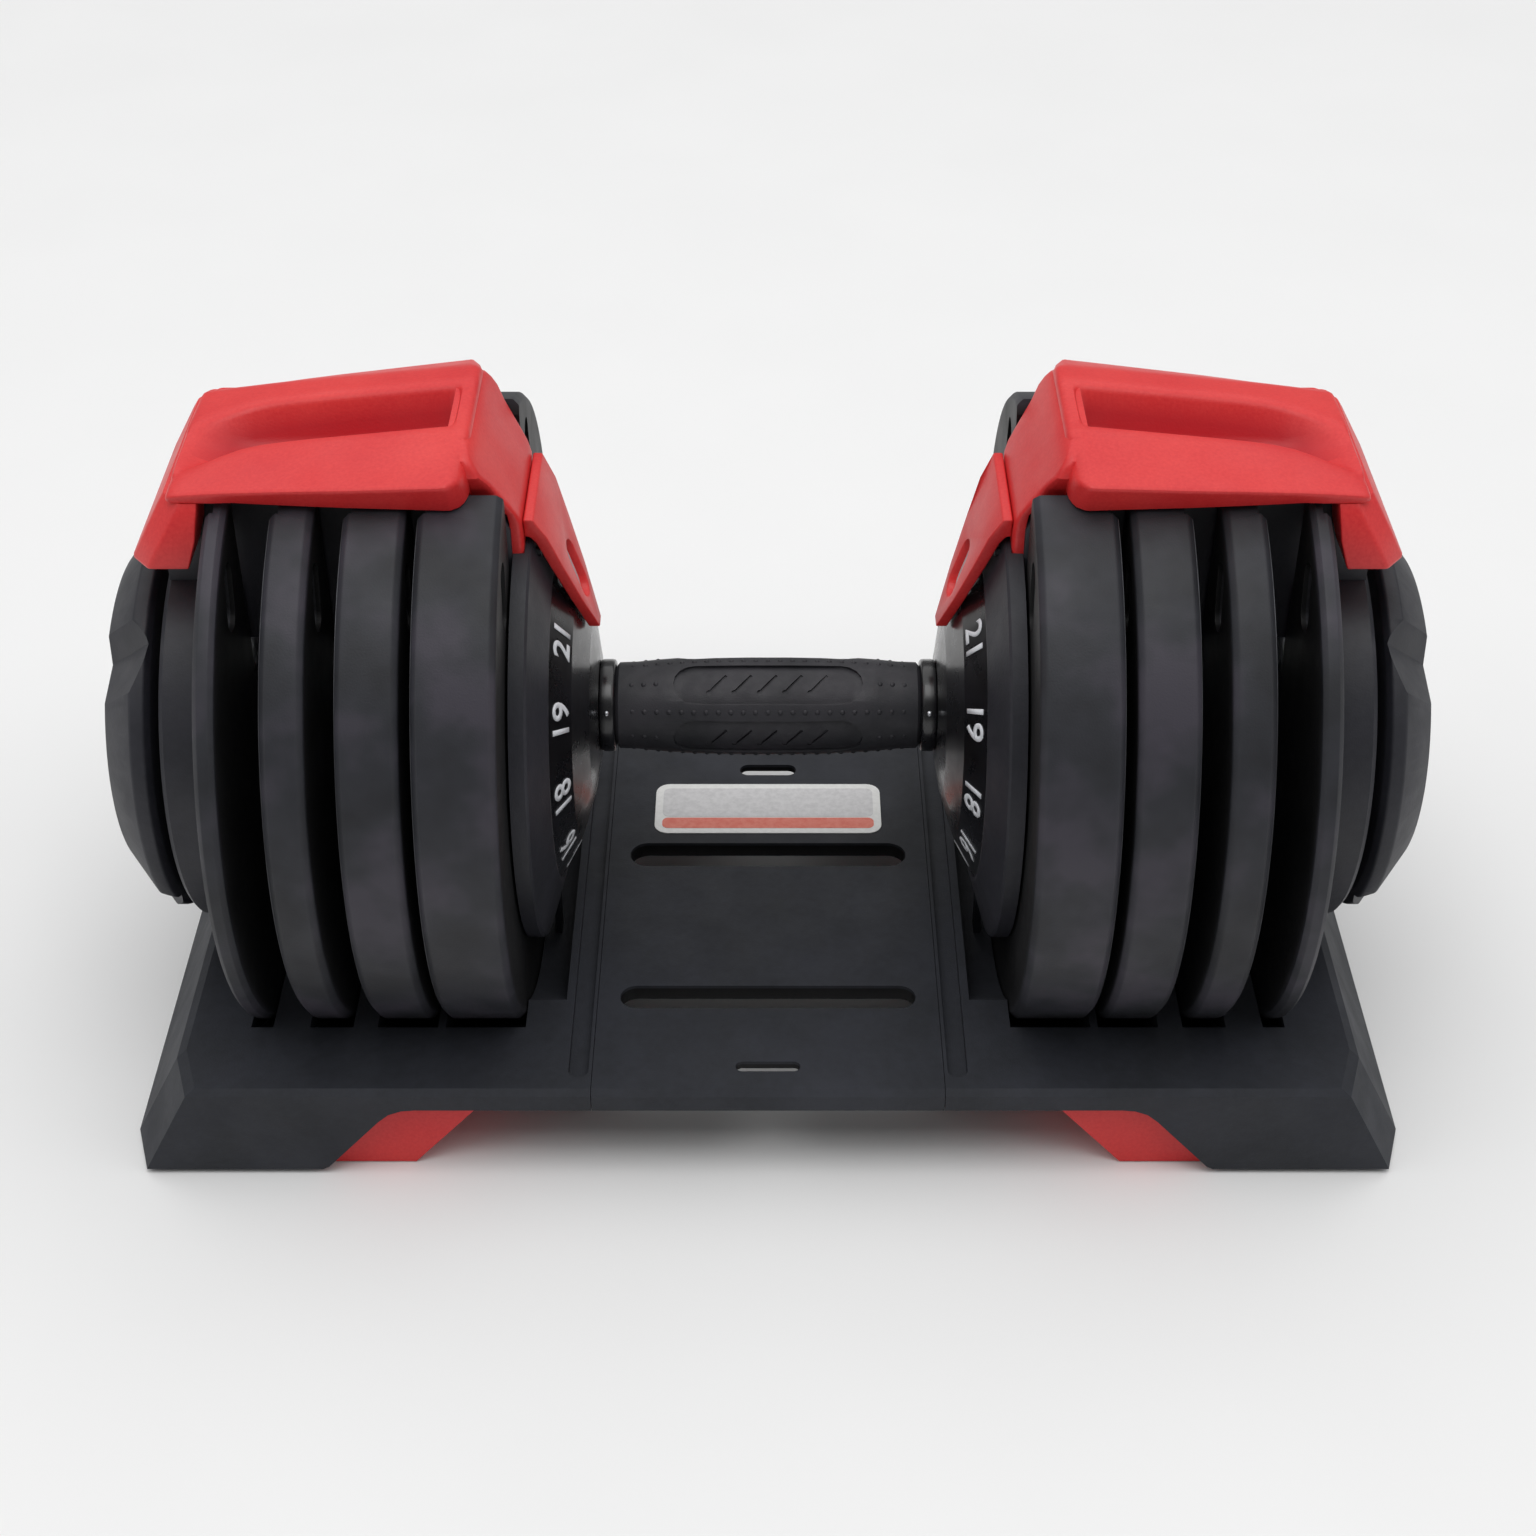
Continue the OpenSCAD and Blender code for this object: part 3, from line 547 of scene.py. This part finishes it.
def rim_edges(low, play):
    """Test for edges that run round the axis, further out than low, at one distance within play."""
    def passes(e):
        ends = [off_axis(v.co) for v in e.verts]
        level = abs(e.verts[0].co.x - e.verts[1].co.x) < LEVEL
        return level and min(ends) > low and max(ends) - min(ends) < play
    return passes


def twin(piece, name, angle):
    """A copy with its own mesh, mirrored to the other end and smoothed by the angle."""
    other = piece.copy()
    other.data = piece.data.copy()
    other.name = name
    bpy.context.collection.objects.link(other)
    other.scale.x = -1
    settle(other)
    edit(other)
    bpy.ops.mesh.select_all(action="SELECT")
    bpy.ops.mesh.normals_make_consistent(inside=False)
    done()
    smooth(other, angle)
    return other


def drawn_from(node, name):
    """A copy of a node's mesh with its doubles merged and its flat faces joined."""
    piece = frame["nodes"][node].copy()
    piece.data = frame["nodes"][node].data.copy()
    piece.name = name
    piece.parent = None
    bpy.context.collection.objects.link(piece)
    piece.matrix_world = frame["nodes"][node].matrix_world.copy()
    settle(piece)
    piece.data.materials.clear()
    edit(piece)
    bpy.ops.mesh.customdata_custom_splitnormals_clear()
    bpy.ops.mesh.select_all(action="SELECT")
    bpy.ops.mesh.remove_doubles(threshold=0.000002)
    bpy.ops.mesh.dissolve_limited(angle_limit=math.radians(0.6))
    done()
    return piece


def dress(piece, material, body, slot, *nodes):
    """Gives a new piece its finish and its body, and hides the nodes it stands for. Its slot is not
    used.
    """
    piece.data.materials.clear()
    piece.data.materials.append(material)
    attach(piece, body)
    if nodes:
        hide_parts(*nodes)


def paint(material, node):
    """Gives a carried-over node a finish."""
    mesh = frame["nodes"][node].data
    if not mesh.materials:
        mesh.materials.append(material)
    for i in range(len(mesh.materials)):
        mesh.materials[i] = material


# ---- Sizes and lights that a user would change -----------------------------------------------

class PlateSettings(bpy.types.PropertyGroup):
    round_over: FloatProperty(name="Round-over", description="Width of the plates' rounded rims",
        default=0.00121, unit="LENGTH")


class SaddleSettings(bpy.types.PropertyGroup):
    edge: FloatProperty(name="Edge", description="Softness of the claws' and spines' edges",
        default=0.0006, unit="LENGTH")


class StageSettings(bpy.types.PropertyGroup):
    lens: FloatProperty(name="Lens", description="Focal length of the camera", default=57.6)
    key: FloatProperty(name="Key light", description="Power of the large light above",
        default=222.0)
    centre: FloatProperty(name="Centre light", description="Power of the light over the grip",
        default=2.6)
    side: FloatProperty(name="Side lights", description="Power of the lights at both ends",
        default=7.0)


# ---- Operators ----------------------------------------------------------------------------------

class DUMBBELL_OT_hardware(bpy.types.Operator):
    """Gives every carried-over part its finish"""
    bl_idname = "dumbbell.hardware"
    bl_label = "Hardware finishes"

    BY_SLOT = {"tray_plastic": tray_plastic, "red_plastic": red_plastic, "pad_rubber": pad_rubber,
        "zinc_steel": zinc_steel, "spring_steel": spring_steel, "hub_plastic": hub_plastic,
        "knob_plastic": knob_plastic, "ring_gloss": gloss_black, "sleeve_plastic": hub_plastic,
        "lens_plastic": lens_plastic, "grip_rubber": grip_rubber,
        "plate_cover_plastic": plate_plastic, "plate_iron": cast_iron,
        "label_film": lambda: label_film("white")}

    def execute(self, context):
        for part in frame["record"]["subparts"]:
            paint(self.BY_SLOT[part["material_slot"]](), part["node"])
        paint(black_steel(), "frame_screws")
        return {"FINISHED"}


class DUMBBELL_OT_stage(bpy.types.Operator):
    """Sets the pale floor, the soft light and the camera"""
    bl_idname = "dumbbell.stage"
    bl_label = "Stage"

    SKY = 0.22                      # strength of the room's even light
    AWAY, LIFT = 0.83, 36           # camera: distance from the grip, and degrees above it
    SHIFT = -0.041

    def execute(self, context):
        settings = context.scene.dumbbell_stage
        deselect()
        bpy.ops.mesh.primitive_plane_add(size=14, location=(0, 3, 0))
        floor = context.active_object
        floor.name = "floor"
        settle(floor)
        floor.data.materials.append(backdrop_paper())
        world = bpy.data.worlds.new("room")
        context.scene.world = world
        world.use_nodes = True
        sky = world.node_tree.nodes["Background"]
        sky.inputs["Color"].default_value = (1, 1, 1, 1)
        sky.inputs["Strength"].default_value = self.SKY
        for name, power, size, place, aim in (
            ("key", settings.key, 8.0, (0, 1.5, 3.4), (0, 1.5, 0)),
            ("centre", settings.centre, 0.6, (0, -0.35, 1.25), (0, 0, 0.12)),
            ("left", settings.side, 1.6, (-2.2, -0.6, 1.2), (0, 0, 0.1)),
            ("right", settings.side, 1.6, (2.2, -0.6, 1.2), (0, 0, 0.1)),
        ):
            bpy.ops.object.light_add(type="AREA", location=place)
            lamp = context.active_object
            lamp.name = name
            lamp.data.energy = power
            lamp.data.size = size
            lamp.rotation_euler = (Vector(aim) - Vector(place)).to_track_quat("-Z", "Y").to_euler()
        lift = math.radians(self.LIFT)
        eye = Vector((0, -self.AWAY * math.cos(lift), AXIS_Z + self.AWAY * math.sin(lift)))
        bpy.ops.object.camera_add(location=eye)
        camera = context.active_object
        camera.name = "camera"
        camera.data.lens = settings.lens
        camera.data.sensor_width = 36
        camera.data.shift_y = self.SHIFT
        camera.data.clip_start = 0.01
        look = (Vector((0, 0, AXIS_Z)) - eye).to_track_quat("-Z", "Y")
        camera.rotation_euler = look.to_euler()
        context.scene.camera = camera
        context.scene.view_settings.view_transform = "Standard"
        return {"FINISHED"}


class DUMBBELL_OT_plates(bpy.types.Operator):
    """Makes the plate covers, with rounded rims"""
    bl_idname = "dumbbell.plates"
    bl_label = "Plate covers"

    COUNT = 4               # plates at each end
    BAND = 0.0024           # edges this near the rim are rounded
    SHARE = 0.11            # most of a cover's thickness that one round-over may take

    def execute(self, context):
        width = context.scene.dumbbell_plates.round_over
        for i in range(1, self.COUNT + 1):
            node = f"plate_right_{i}_cover"
            lo, hi = span(node)
            cover = drawn_from(node, f"cover_right_{i}")
            most = (hi.x - lo.x) * self.SHARE
            round_edges(cover, rim_edges(PLATE_R - self.BAND, 0.00005), min(width, most))
            smooth(cover, 38)
            other = twin(cover, f"cover_left_{i}", 38)
            for piece, side in ((cover, "right"), (other, "left")):
                dress(piece, plate_plastic(), f"plate_{side}_{i}", "plate_cover_plastic",
                    f"plate_{side}_{i}_cover")
        return {"FINISHED"}


class DUMBBELL_OT_saddles(bpy.types.Operator):
    """Makes the red saddles over the plates, and the spines in them in dark plastic as painted
    shade
    """
    bl_idname = "dumbbell.saddles"
    bl_label = "Saddles"

    # All in millimetres, with heights from the axis. Cover: distance out, crest height, trough
    # depth, lip edge, fold half-width and height, base half-width and height, end rounding
    STATIONS = [
        (90.8, 116.0, 0.0, 12.5, 33.0, 107.6, 32.0, 100.6, 2.4),
        (91.2, 116.0, 0.0, 12.5, 34.0, 108.2, 33.0, 100.2, 1.3),
        (92.0, 116.0, 0.0, 12.5, 36.0, 109.0, 34.4, 99.8, 0.5),
        (93.2, 116.0, 0.0, 12.5, 38.6, 109.8, 35.6, 99.4, 0.1),
        (95.6, 115.9, 0.0, 12.5, 41.6, 110.2, 37.0, 99.2, 0.0),
        (96.4, 115.8, 1.2, 12.5, 42.0, 110.2, 37.2, 99.2, 0.0),
        (97.1, 115.7, 4.6, 12.5, 42.0, 110.1, 37.2, 99.2, 0.0),
        (97.9, 115.6, 9.6, 12.5, 42.0, 110.1, 37.2, 99.2, 0.0),
        (98.8, 115.5, 12.8, 12.5, 42.0, 110.0, 37.2, 99.2, 0.0),
        (100.4, 115.4, 14.2, 12.5, 41.9, 109.9, 37.2, 99.3, 0.0),
        (112.0, 114.2, 14.4, 12.5, 41.4, 109.3, 37.1, 99.6, 0.0),
        (126.0, 112.8, 14.4, 12.6, 40.8, 108.5, 37.0, 100.0, 0.0),
        (140.0, 111.4, 14.2, 12.7, 40.0, 107.8, 36.8, 100.5, 0.0),
        (150.0, 110.3, 13.2, 12.9, 39.4, 107.2, 36.6, 100.9, 0.0),
        (156.0, 109.6, 12.6, 13.3, 39.0, 106.8, 36.5, 101.2, 0.0),
        (162.0, 108.9, 11.9, 14.6, 38.6, 106.4, 36.4, 101.5, 0.0),
        (168.0, 108.2, 8.6, 17.4, 38.2, 105.9, 36.3, 101.2, 0.0),
        (173.0, 107.6, 5.0, 20.6, 37.9, 105.4, 36.2, 101.2, 0.0),
        (177.0, 107.1, 2.6, 23.4, 37.6, 104.9, 36.1, 101.2, 0.0),
        (180.2, 106.8, 0.8, 25.4, 37.3, 104.6, 36.0, 101.2, 0.1),
        (181.2, 106.7, 0.2, 26.0, 37.2, 104.4, 35.9, 101.2, 0.5),
        (181.8, 106.6, 0.0, 26.2, 37.1, 104.3, 35.8, 101.2, 1.2),
        (182.0, 106.6, 0.0, 26.4, 37.0, 104.2, 35.7, 101.2, 2.0),
    ]
    # Arm down to the hub and claw at the outer end: height, inner and outer face, half-width
    ARM = [
        (66.3, 76.2, 80.1, 22.0), (82.0, 76.2, 80.1, 22.6), (86.0, 76.5, 80.2, 23.0),
        (89.5, 77.6, 80.6, 23.8), (93.0, 79.4, 83.0, 24.8), (98.0, 82.2, 90.0, 26.4),
        (102.5, 84.7, 95.0, 27.8), (106.5, 86.9, 97.0, 30.4), (109.5, 88.6, 98.0, 30.2),
        (111.8, 90.0, 98.0, 29.0), (113.4, 91.2, 98.0, 25.0), (114.4, 92.8, 98.0, 21.0),
    ]
    CLAW = [
        (81.0, 176.6, 194.9, 41.0), (82.0, 176.2, 194.8, 41.2), (90.0, 173.8, 190.4, 39.6),
        (98.0, 172.8, 186.0, 38.2), (101.3, 172.5, 184.0, 36.4),
    ]
    CREST, CREST_FALL = 116, 9.4            # at the grip's end, and its fall to the outer end
    LIP, LIP_TRAVEL = 12.5, 13.9            # at the grip's end, and its travel to the outer end
    UNDERSIDE = [(29, 101.4, 0.5), (24, 94.5, 0.5), (-24, 94.5, 0.5), (-29, 101.4, 0.5)]
    # Spine through the plates' slots, seen from the front: distance out and height
    SPINE = [(79.8, 44), (175.1, 44), (175.1, 95.4), (92, 95.4), (82, 89), (79.8, 84)]
    SPINE_HALF = 24
    # Web between the spine and the outer hub: its faces, foot, top and the corner cut off it
    WEB_IN, WEB_OUT, WEB_FOOT, WEB_TOP = 173.9, 187.8, 66, 100
    WEDGE = [(190, 88), (190, 102), (178, 102)]
    HUB_SEAT = 70.1                         # radius of the web's hollow foot

    def eased(self, corners):
        """Rounds a polygon's corners. Each corner: two coordinates and its rounding's reach."""
        points, steps = [], 4
        for i, (y, z, reach) in enumerate(corners):
            here = Vector((y, z))
            sides = [Vector(corners[j][:2]) - here for j in (i - 1, (i + 1) % len(corners))]
            start, end = (here + v.normalized() * min(reach, v.length * 0.45) for v in sides)
            for k in range(steps + 1):
                t = k / steps
                points.append(tuple(start * (1 - t) ** 2 + here * (2 * t * (1 - t)) + end * t ** 2))
        return points

    def section(self, crest, depth, lip, fold, fold_z, base, base_z, inset):
        """Section of the cover: front lip, trough, back ridge, then back along the underside."""
        drift = (lip - self.LIP) / self.LIP_TRAVEL
        top = crest - inset
        front = crest - 0.5 - 1.4 * drift - inset
        floor = crest - depth - 0.6 - inset
        back = self.LIP - self.LIP * drift
        fall = 0.9 + 3.6 * (self.CREST - crest) / self.CREST_FALL
        corners = [(-base + inset, base_z, 0.7), (-fold + inset, fold_z - inset, 1.8),
            (-lip - 4, front, 3), (-lip, front - 0.2, 1.2), (-lip + 6.5 - 2 * drift, floor, 4),
            (back - 6.5, floor, 4), (back, top - 0.4, 2), (back + 4.5, top, 3.5),
            (27, top - 1.2, 3), (fold - fall * 0.7 - inset, fold_z - fall - inset, 1.8),
            (base - inset, base_z, 0.7)] + self.UNDERSIDE
        return self.eased(corners)

    def pillar(self, name, rows, outline):
        """Upright loft. Each row: height, inner and outer face, half-width."""
        return loft(name, [on_axis([(x, y, z) for y, x in self.eased(outline(a, b, h))])
            for z, a, b, h in rows])

    def execute(self, context):
        edge = context.scene.dumbbell_saddles.edge
        cover = loft("saddle_right", [on_axis([(row[0], y, z) for y, z in self.section(*row[1:])])
            for row in self.STATIONS])
        arm = self.pillar("arm", self.ARM, lambda a, b, h: [(-h, b, 0.4), (-h, a, 2.6),
            (h, a, 2.6), (h, b, 0.4)])
        claw = self.pillar("claw", self.CLAW, lambda a, b, h: [(-h, a, 0.6), (-h, b - 6, 1.2),
            (-h + 7, b, 1.2), (h - 7, b, 1.2), (h, b - 6, 1.2), (h, a, 0.6)])
        soften(claw, edge, 2, 60)
        join(cover, arm, claw)
        half = self.SPINE_HALF
        spine = slab("spine_right", self.SPINE, "y", -half, half)
        seat = self.HUB_SEAT
        arc = [(seat * math.sin(math.radians(a)), seat * math.cos(math.radians(a)))
            for a in range(-20, 21, 4)]
        web = slab("web", [(-half, self.WEB_TOP), (-half, self.WEB_FOOT)] + arc
            + [(half, self.WEB_FOOT), (half, self.WEB_TOP)], "x", self.WEB_IN, self.WEB_OUT)
        cut(web, slab("wedge", self.WEDGE, "y", -half - 6, half + 6))
        for piece in (spine, web):
            piece.scale = (MM, MM, MM)
            piece.location.z = AXIS_Z
            settle(piece)
            outward(piece)
            soften(piece, edge, 2, 50)
        join(spine, web)
        # Painted shade: the spines and their webs take the dark hub plastic in place of the
        # saddles' red, for the shade in the plates' gaps
        for piece, name, look, slot in ((cover, "saddle", red_plastic, "red_plastic"),
                (spine, "spine", hub_plastic, "hub_plastic")):
            smooth(piece, 32)
            other = twin(piece, f"{name}_left", 32)
            for each, side in ((piece, "right"), (other, "left")):
                dress(each, look(), "carriage", slot, f"saddle_{side}")
        return {"FINISHED"}


class DUMBBELL_OT_pointers(bpy.types.Operator):
    """Softens the pointers that show the chosen weight"""
    bl_idname = "dumbbell.pointers"
    bl_label = "Pointers"

    KNEE = 80 * MM          # height over the axis from which the tongue is lowered
    TAKEN = 0.45            # share of its rise that is taken off

    def execute(self, context):
        for side in ("left", "right"):
            pointer = drawn_from(f"pointer_{side}", f"pointer_tongue_{side}")
            for v in pointer.data.vertices:
                rise = v.co.z - AXIS_Z - self.KNEE
                if rise > 0:
                    v.co.z -= rise * self.TAKEN
            soften(pointer, 0.0008, 3, 28)
            smooth(pointer, 30)
            dress(pointer, red_plastic(), "carriage", "red_plastic", f"pointer_{side}")
        return {"FINISHED"}


class DUMBBELL_OT_numbers(bpy.types.Operator):
    """Prints the weights round both number rings"""
    bl_idname = "dumbbell.numbers"
    bl_label = "Numbers"

    WEIGHTS = (24, 21, 19, 18, 16, 15, 13, 12, 10, 9, 7, 4)
    HEIGHT = 0.0128                         # of the digits
    SLOPE = math.atan2(6.2, 11.2)           # of the ring's face, from square to the handle
    MIDDLE_R, MIDDLE_X = RING_R - 0.0068, RING_X + 0.0094
    PROUD, THICK = 0.00012, 0.00022

    def number(self, text, turn, side):
        """One number, laid on the ring's slope at a turn from the back, with its top outwards."""
        deselect()
        bpy.ops.object.text_add(location=(0, 0, 0))
        piece = bpy.context.active_object
        piece.data.body = text
        piece.data.align_x = "CENTER"
        piece.data.align_y = "CENTER"
        piece.data.size = self.HEIGHT
        piece.data.offset = 0.0002
        piece.data.resolution_u = 4
        bpy.ops.object.convert(target="MESH")
        piece = bpy.context.active_object
        edit(piece)
        bpy.ops.mesh.select_all(action="SELECT")
        bpy.ops.mesh.quads_convert_to_tris()
        bpy.ops.mesh.subdivide(number_cuts=1)
        done()
        for v in piece.data.vertices:
            along, up = v.co.x * side, v.co.y
            r = self.MIDDLE_R + up * math.cos(self.SLOPE)
            a = math.radians(turn) + along / self.MIDDLE_R
            x = self.MIDDLE_X + up * math.sin(self.SLOPE) - self.PROUD
            v.co = (side * x, r * math.cos(a), AXIS_Z + r * math.sin(a))
        modify(piece, "SOLIDIFY", thickness=self.THICK, offset=0)
        return piece

    def execute(self, context):
        step = 360 / len(self.WEIGHTS)
        for name, side in (("left", -1), ("right", 1)):
            pieces = [self.number(str(w), 90 + step * k, side) for k, w in enumerate(self.WEIGHTS)]
            pieces[0].name = f"numbers_{name}"
            join(*pieces)
            outward(pieces[0], 0.000001)
            dress(pieces[0], white_print(), "dial", "label_film")
        return {"FINISHED"}


class DUMBBELL_OT_grip(bpy.types.Operator):
    """Makes the rubber grip with its oval panels and rows of studs"""
    bl_idname = "dumbbell.grip"
    bl_label = "Grip"

    SHARES = (0.86, 0.72, 0.55, 0.35, 0.15, -0.15, -0.35, -0.55, -0.72, -0.86)
    END_FALL = 0.0022                       # the barrel's ends are this much slimmer
    PANELS, FIRST = 5, 117                  # oval panels, and the turn of the first one
    PANEL_HALF, PANEL_ROUND, PANEL_DEPTH = 0.0315, 0.0072, 0.0011
    TOOL_FOOT, TOOL_TOP = 0.0135, 0.03      # radii between which the cutting tools reach
    SLASH_DEPTH, SLASH_PITCH, SLASH_TILT = 0.0021, 0.0084, -42
    STUD_R, STUD_SUNK, STUD_PITCH = 0.00105, 0.00055, 0.0041
    STUD_END = 0.0372                       # where the short rows at the panels' ends start

    def fall(self, share):
        """How much slimmer the barrel is at a share of its half-length: END_FALL at about 0.89."""
        return self.END_FALL * abs(share) ** 2.6 / 0.74

    def bulged(self, name, less):
        """The grip's barrel, drawn in by a little."""
        half, r = GRIP_HALF, GRIP_R - less
        end = r - self.END_FALL
        shape = [(BORE_R, -half), (end - 0.0014, -half), (end, -half + 0.0012)]
        shape += [(r - self.fall(share), -half * share) for share in self.SHARES]
        shape += [(end, half - 0.0012), (end - 0.0014, half), (BORE_R, half)]
        return turned(name, shape, 144)

    def oval(self):
        """Tool for one panel, standing on the axis."""
        straight, r = self.PANEL_HALF - self.PANEL_ROUND, self.PANEL_ROUND
        corners = []
        for end, start in ((1, -90), (-1, 90)):
            for k in range(9):
                a = math.radians(start + k * 22.5)
                corners.append((end * straight + r * math.cos(a), r * math.sin(a)))
        return slab("oval", corners, "z", self.TOOL_FOOT, self.TOOL_TOP)

    def slash(self, place):
        """Tool for one slash of a panel: a thin line with a round end."""
        corners = [(-0.00045, 0.0044), (0.00045, 0.0044)]
        for k in range(16):
            a = math.radians(150 - 20 * k)
            corners.append((0.0009 * math.sin(a), -0.0042 - 0.0009 * math.cos(a)))
        piece = slab("slash", corners, "z", GRIP_R - self.SLASH_DEPTH, self.TOOL_TOP)
        piece.rotation_euler.z = math.radians(self.SLASH_TILT)
        settle(piece)
        piece.location.x = place
        settle(piece)
        return piece

    def turn(self, piece, angle):
        """Turns a tool that stands on the axis to its place round the handle."""
        piece.rotation_euler = (math.radians(angle - 90), 0, 0)
        piece.location.z = AXIS_Z
        settle(piece)
        return piece

    def stud(self, x, angle):
        """One stud of a row, sunk in the barrel."""
        r = GRIP_R - self.fall(x / GRIP_HALF) - self.STUD_SUNK
        a = math.radians(angle)
        deselect()
        bpy.ops.mesh.primitive_uv_sphere_add(segments=10, ring_count=6, radius=self.STUD_R,
            location=(x, r * math.cos(a), AXIS_Z + r * math.sin(a)))
        return bpy.context.active_object

    def execute(self, context):
        grip = self.bulged("grip_rubber_sleeve", 0)
        step = 360 / self.PANELS
        turns = [self.FIRST + k * step for k in range(self.PANELS)]
        panels = join(*[self.turn(self.oval(), angle) for angle in turns])
        cut(panels, self.bulged("core", self.PANEL_DEPTH), "MANIFOLD")
        cut(grip, panels, "MANIFOLD")
        soften(grip, 0.00035, 2, 35)
        slashes = [self.turn(self.slash(j * self.SLASH_PITCH), angle)
            for angle in turns for j in range(-2, 3)]
        cut(grip, join(*slashes), "MANIFOLD")
        row = [i * self.STUD_PITCH for i in range(-11, 12)]
        ends = [s * (self.STUD_END + i * self.STUD_PITCH) for s in (-1, 1) for i in range(3)]
        studs = [self.stud(x, angle + step / 2) for angle in turns for x in row]
        studs += [self.stud(x, angle) for angle in turns for x in ends]
        studs = join(*studs)
        settle(studs)
        join(grip, studs)
        smooth(grip, 32)
        dress(grip, grip_rubber(), "dial", "grip_rubber", "grip")
        return {"FINISHED"}


class DUMBBELL_OT_collars(bpy.types.Operator):
    """Makes the glossy collars with their pins"""
    bl_idname = "dumbbell.collars"
    bl_label = "Collars"

    PIN_R, PIN_SUNK, PIN_TURN = 0.0011, 0.0005, math.radians(155)

    def execute(self, context):
        for name, side in (("left", -1), ("right", 1)):
            a, b = sorted(abs(v.x) for v in span(f"collar_{name}"))
            r = COLLAR_R
            shape = [(BORE_R, a), (r - 0.0009, a), (r - 0.0002, a + 0.0004), (r, a + 0.0012),
                (r, b - 0.0012), (r - 0.0003, b - 0.0003), (r - 0.0012, b), (BORE_R, b)]
            collar = turned(f"collar_band_{name}", [(q, side * x) for q, x in shape], 96)
            smooth(collar, 50)
            dress(collar, gloss_black(), "dial", "ring_gloss", f"collar_{name}")
            deselect()
            seat = r - self.PIN_SUNK
            bpy.ops.mesh.primitive_uv_sphere_add(segments=20, ring_count=10, radius=self.PIN_R,
                location=(side * (a + b) / 2, seat * math.cos(self.PIN_TURN),
                    AXIS_Z + seat * math.sin(self.PIN_TURN)))
            pin = context.active_object
            pin.name = f"collar_pin_{name}"
            settle(pin)
            smooth(pin, 60)
            dress(pin, zinc_steel(), "dial", "zinc_steel")
        return {"FINISHED"}


class DUMBBELL_OT_knobs(bpy.types.Operator):
    """Softens the end knobs"""
    bl_idname = "dumbbell.knobs"
    bl_label = "Knobs"

    BAND = 0.0155           # edges this near the rim are rounded
    ROUND_OVER = 0.0007

    def execute(self, context):
        knob = drawn_from("knob_right", "knob_grip_right")
        rim = span("knob_right")[1].y
        round_edges(knob, rim_edges(rim - self.BAND, 0.0004), self.ROUND_OVER)
        smooth(knob, 26)
        other = twin(knob, "knob_grip_left", 26)
        dress(knob, knob_plastic(), "dial", "knob_plastic", "knob_right")
        dress(other, knob_plastic(), "dial", "knob_plastic", "knob_left")
        return {"FINISHED"}


class DUMBBELL_OT_label(bpy.types.Operator):
    """Makes the plain label: white border, grey field and a coral band"""
    bl_idname = "dumbbell.label"
    bl_label = "Deck label"

    MARGIN = 0.0028                         # of the white border
    BAND_TOP, FIELD_FOOT = 0.0088, 0.0095   # from the label's front edge
    FILM = 0.0002                           # thickness of the field and the band

    def patch(self, name, x, y0, y1, r, z0, z1):
        """Rounded rectangle across the deck."""
        corners = []
        for cx, cy, start in ((x - r, y1 - r, 0), (-x + r, y1 - r, 90),
                (-x + r, y0 + r, 180), (x - r, y0 + r, 270)):
            for k in range(7):
                a = math.radians(start + k * 15)
                corners.append((cx + r * math.cos(a), cy + r * math.sin(a)))
        return slab(name, corners, "z", z0, z1)

    def execute(self, context):
        lo, hi = span("deck_label")
        base = self.patch("label_border", hi.x, lo.y, hi.y, 0.005, lo.z, hi.z - 0.0001)
        soften(base, 0.0001, 2, 40)
        dress(base, label_film("white"), "tray", "label_film", "deck_label")
        wide, top = hi.x - self.MARGIN, hi.y - self.MARGIN
        field = self.patch("label_field", wide, lo.y + self.FIELD_FOOT, top, 0.0026,
            hi.z - self.FILM, hi.z)
        dress(field, label_film("grey"), "tray", "label_film")
        band = self.patch("label_band", wide, lo.y + self.MARGIN, lo.y + self.BAND_TOP, 0.0022,
            hi.z - self.FILM, hi.z)
        dress(band, label_film("coral"), "tray", "label_film")
        return {"FINISHED"}


OPERATORS = [DUMBBELL_OT_hardware, DUMBBELL_OT_plates, DUMBBELL_OT_saddles, DUMBBELL_OT_pointers,
    DUMBBELL_OT_numbers, DUMBBELL_OT_grip, DUMBBELL_OT_collars, DUMBBELL_OT_knobs,
    DUMBBELL_OT_label, DUMBBELL_OT_stage]
GROUPS = {"dumbbell_plates": PlateSettings, "dumbbell_saddles": SaddleSettings,
    "dumbbell_stage": StageSettings}


class DUMBBELL_PT_panel(bpy.types.Panel):
    """Lists the dumbbell's pieces"""
    bl_idname = "DUMBBELL_PT_panel"
    bl_label = "Adjustable dumbbell"
    bl_space_type = "VIEW_3D"
    bl_region_type = "UI"
    bl_category = "Dumbbell"

    def draw(self, context):
        for operator in OPERATORS:
            self.layout.operator(operator.bl_idname)
        for group in GROUPS:
            for name in GROUPS[group].__annotations__:
                self.layout.prop(getattr(context.scene, group), name)


def register():
    for group, kind in GROUPS.items():
        bpy.utils.register_class(kind)
        setattr(bpy.types.Scene, group, PointerProperty(type=kind))
    for kind in OPERATORS + [DUMBBELL_PT_panel]:
        bpy.utils.register_class(kind)


def unregister():
    for kind in reversed(OPERATORS + [DUMBBELL_PT_panel]):
        bpy.utils.unregister_class(kind)
    for group, kind in GROUPS.items():
        delattr(bpy.types.Scene, group)
        bpy.utils.unregister_class(kind)


def main():
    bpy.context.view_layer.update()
    register()
    for operator in OPERATORS:
        group, name = operator.bl_idname.split(".")
        getattr(getattr(bpy.ops, group), name)()


if __name__ == "__main__":
    main()
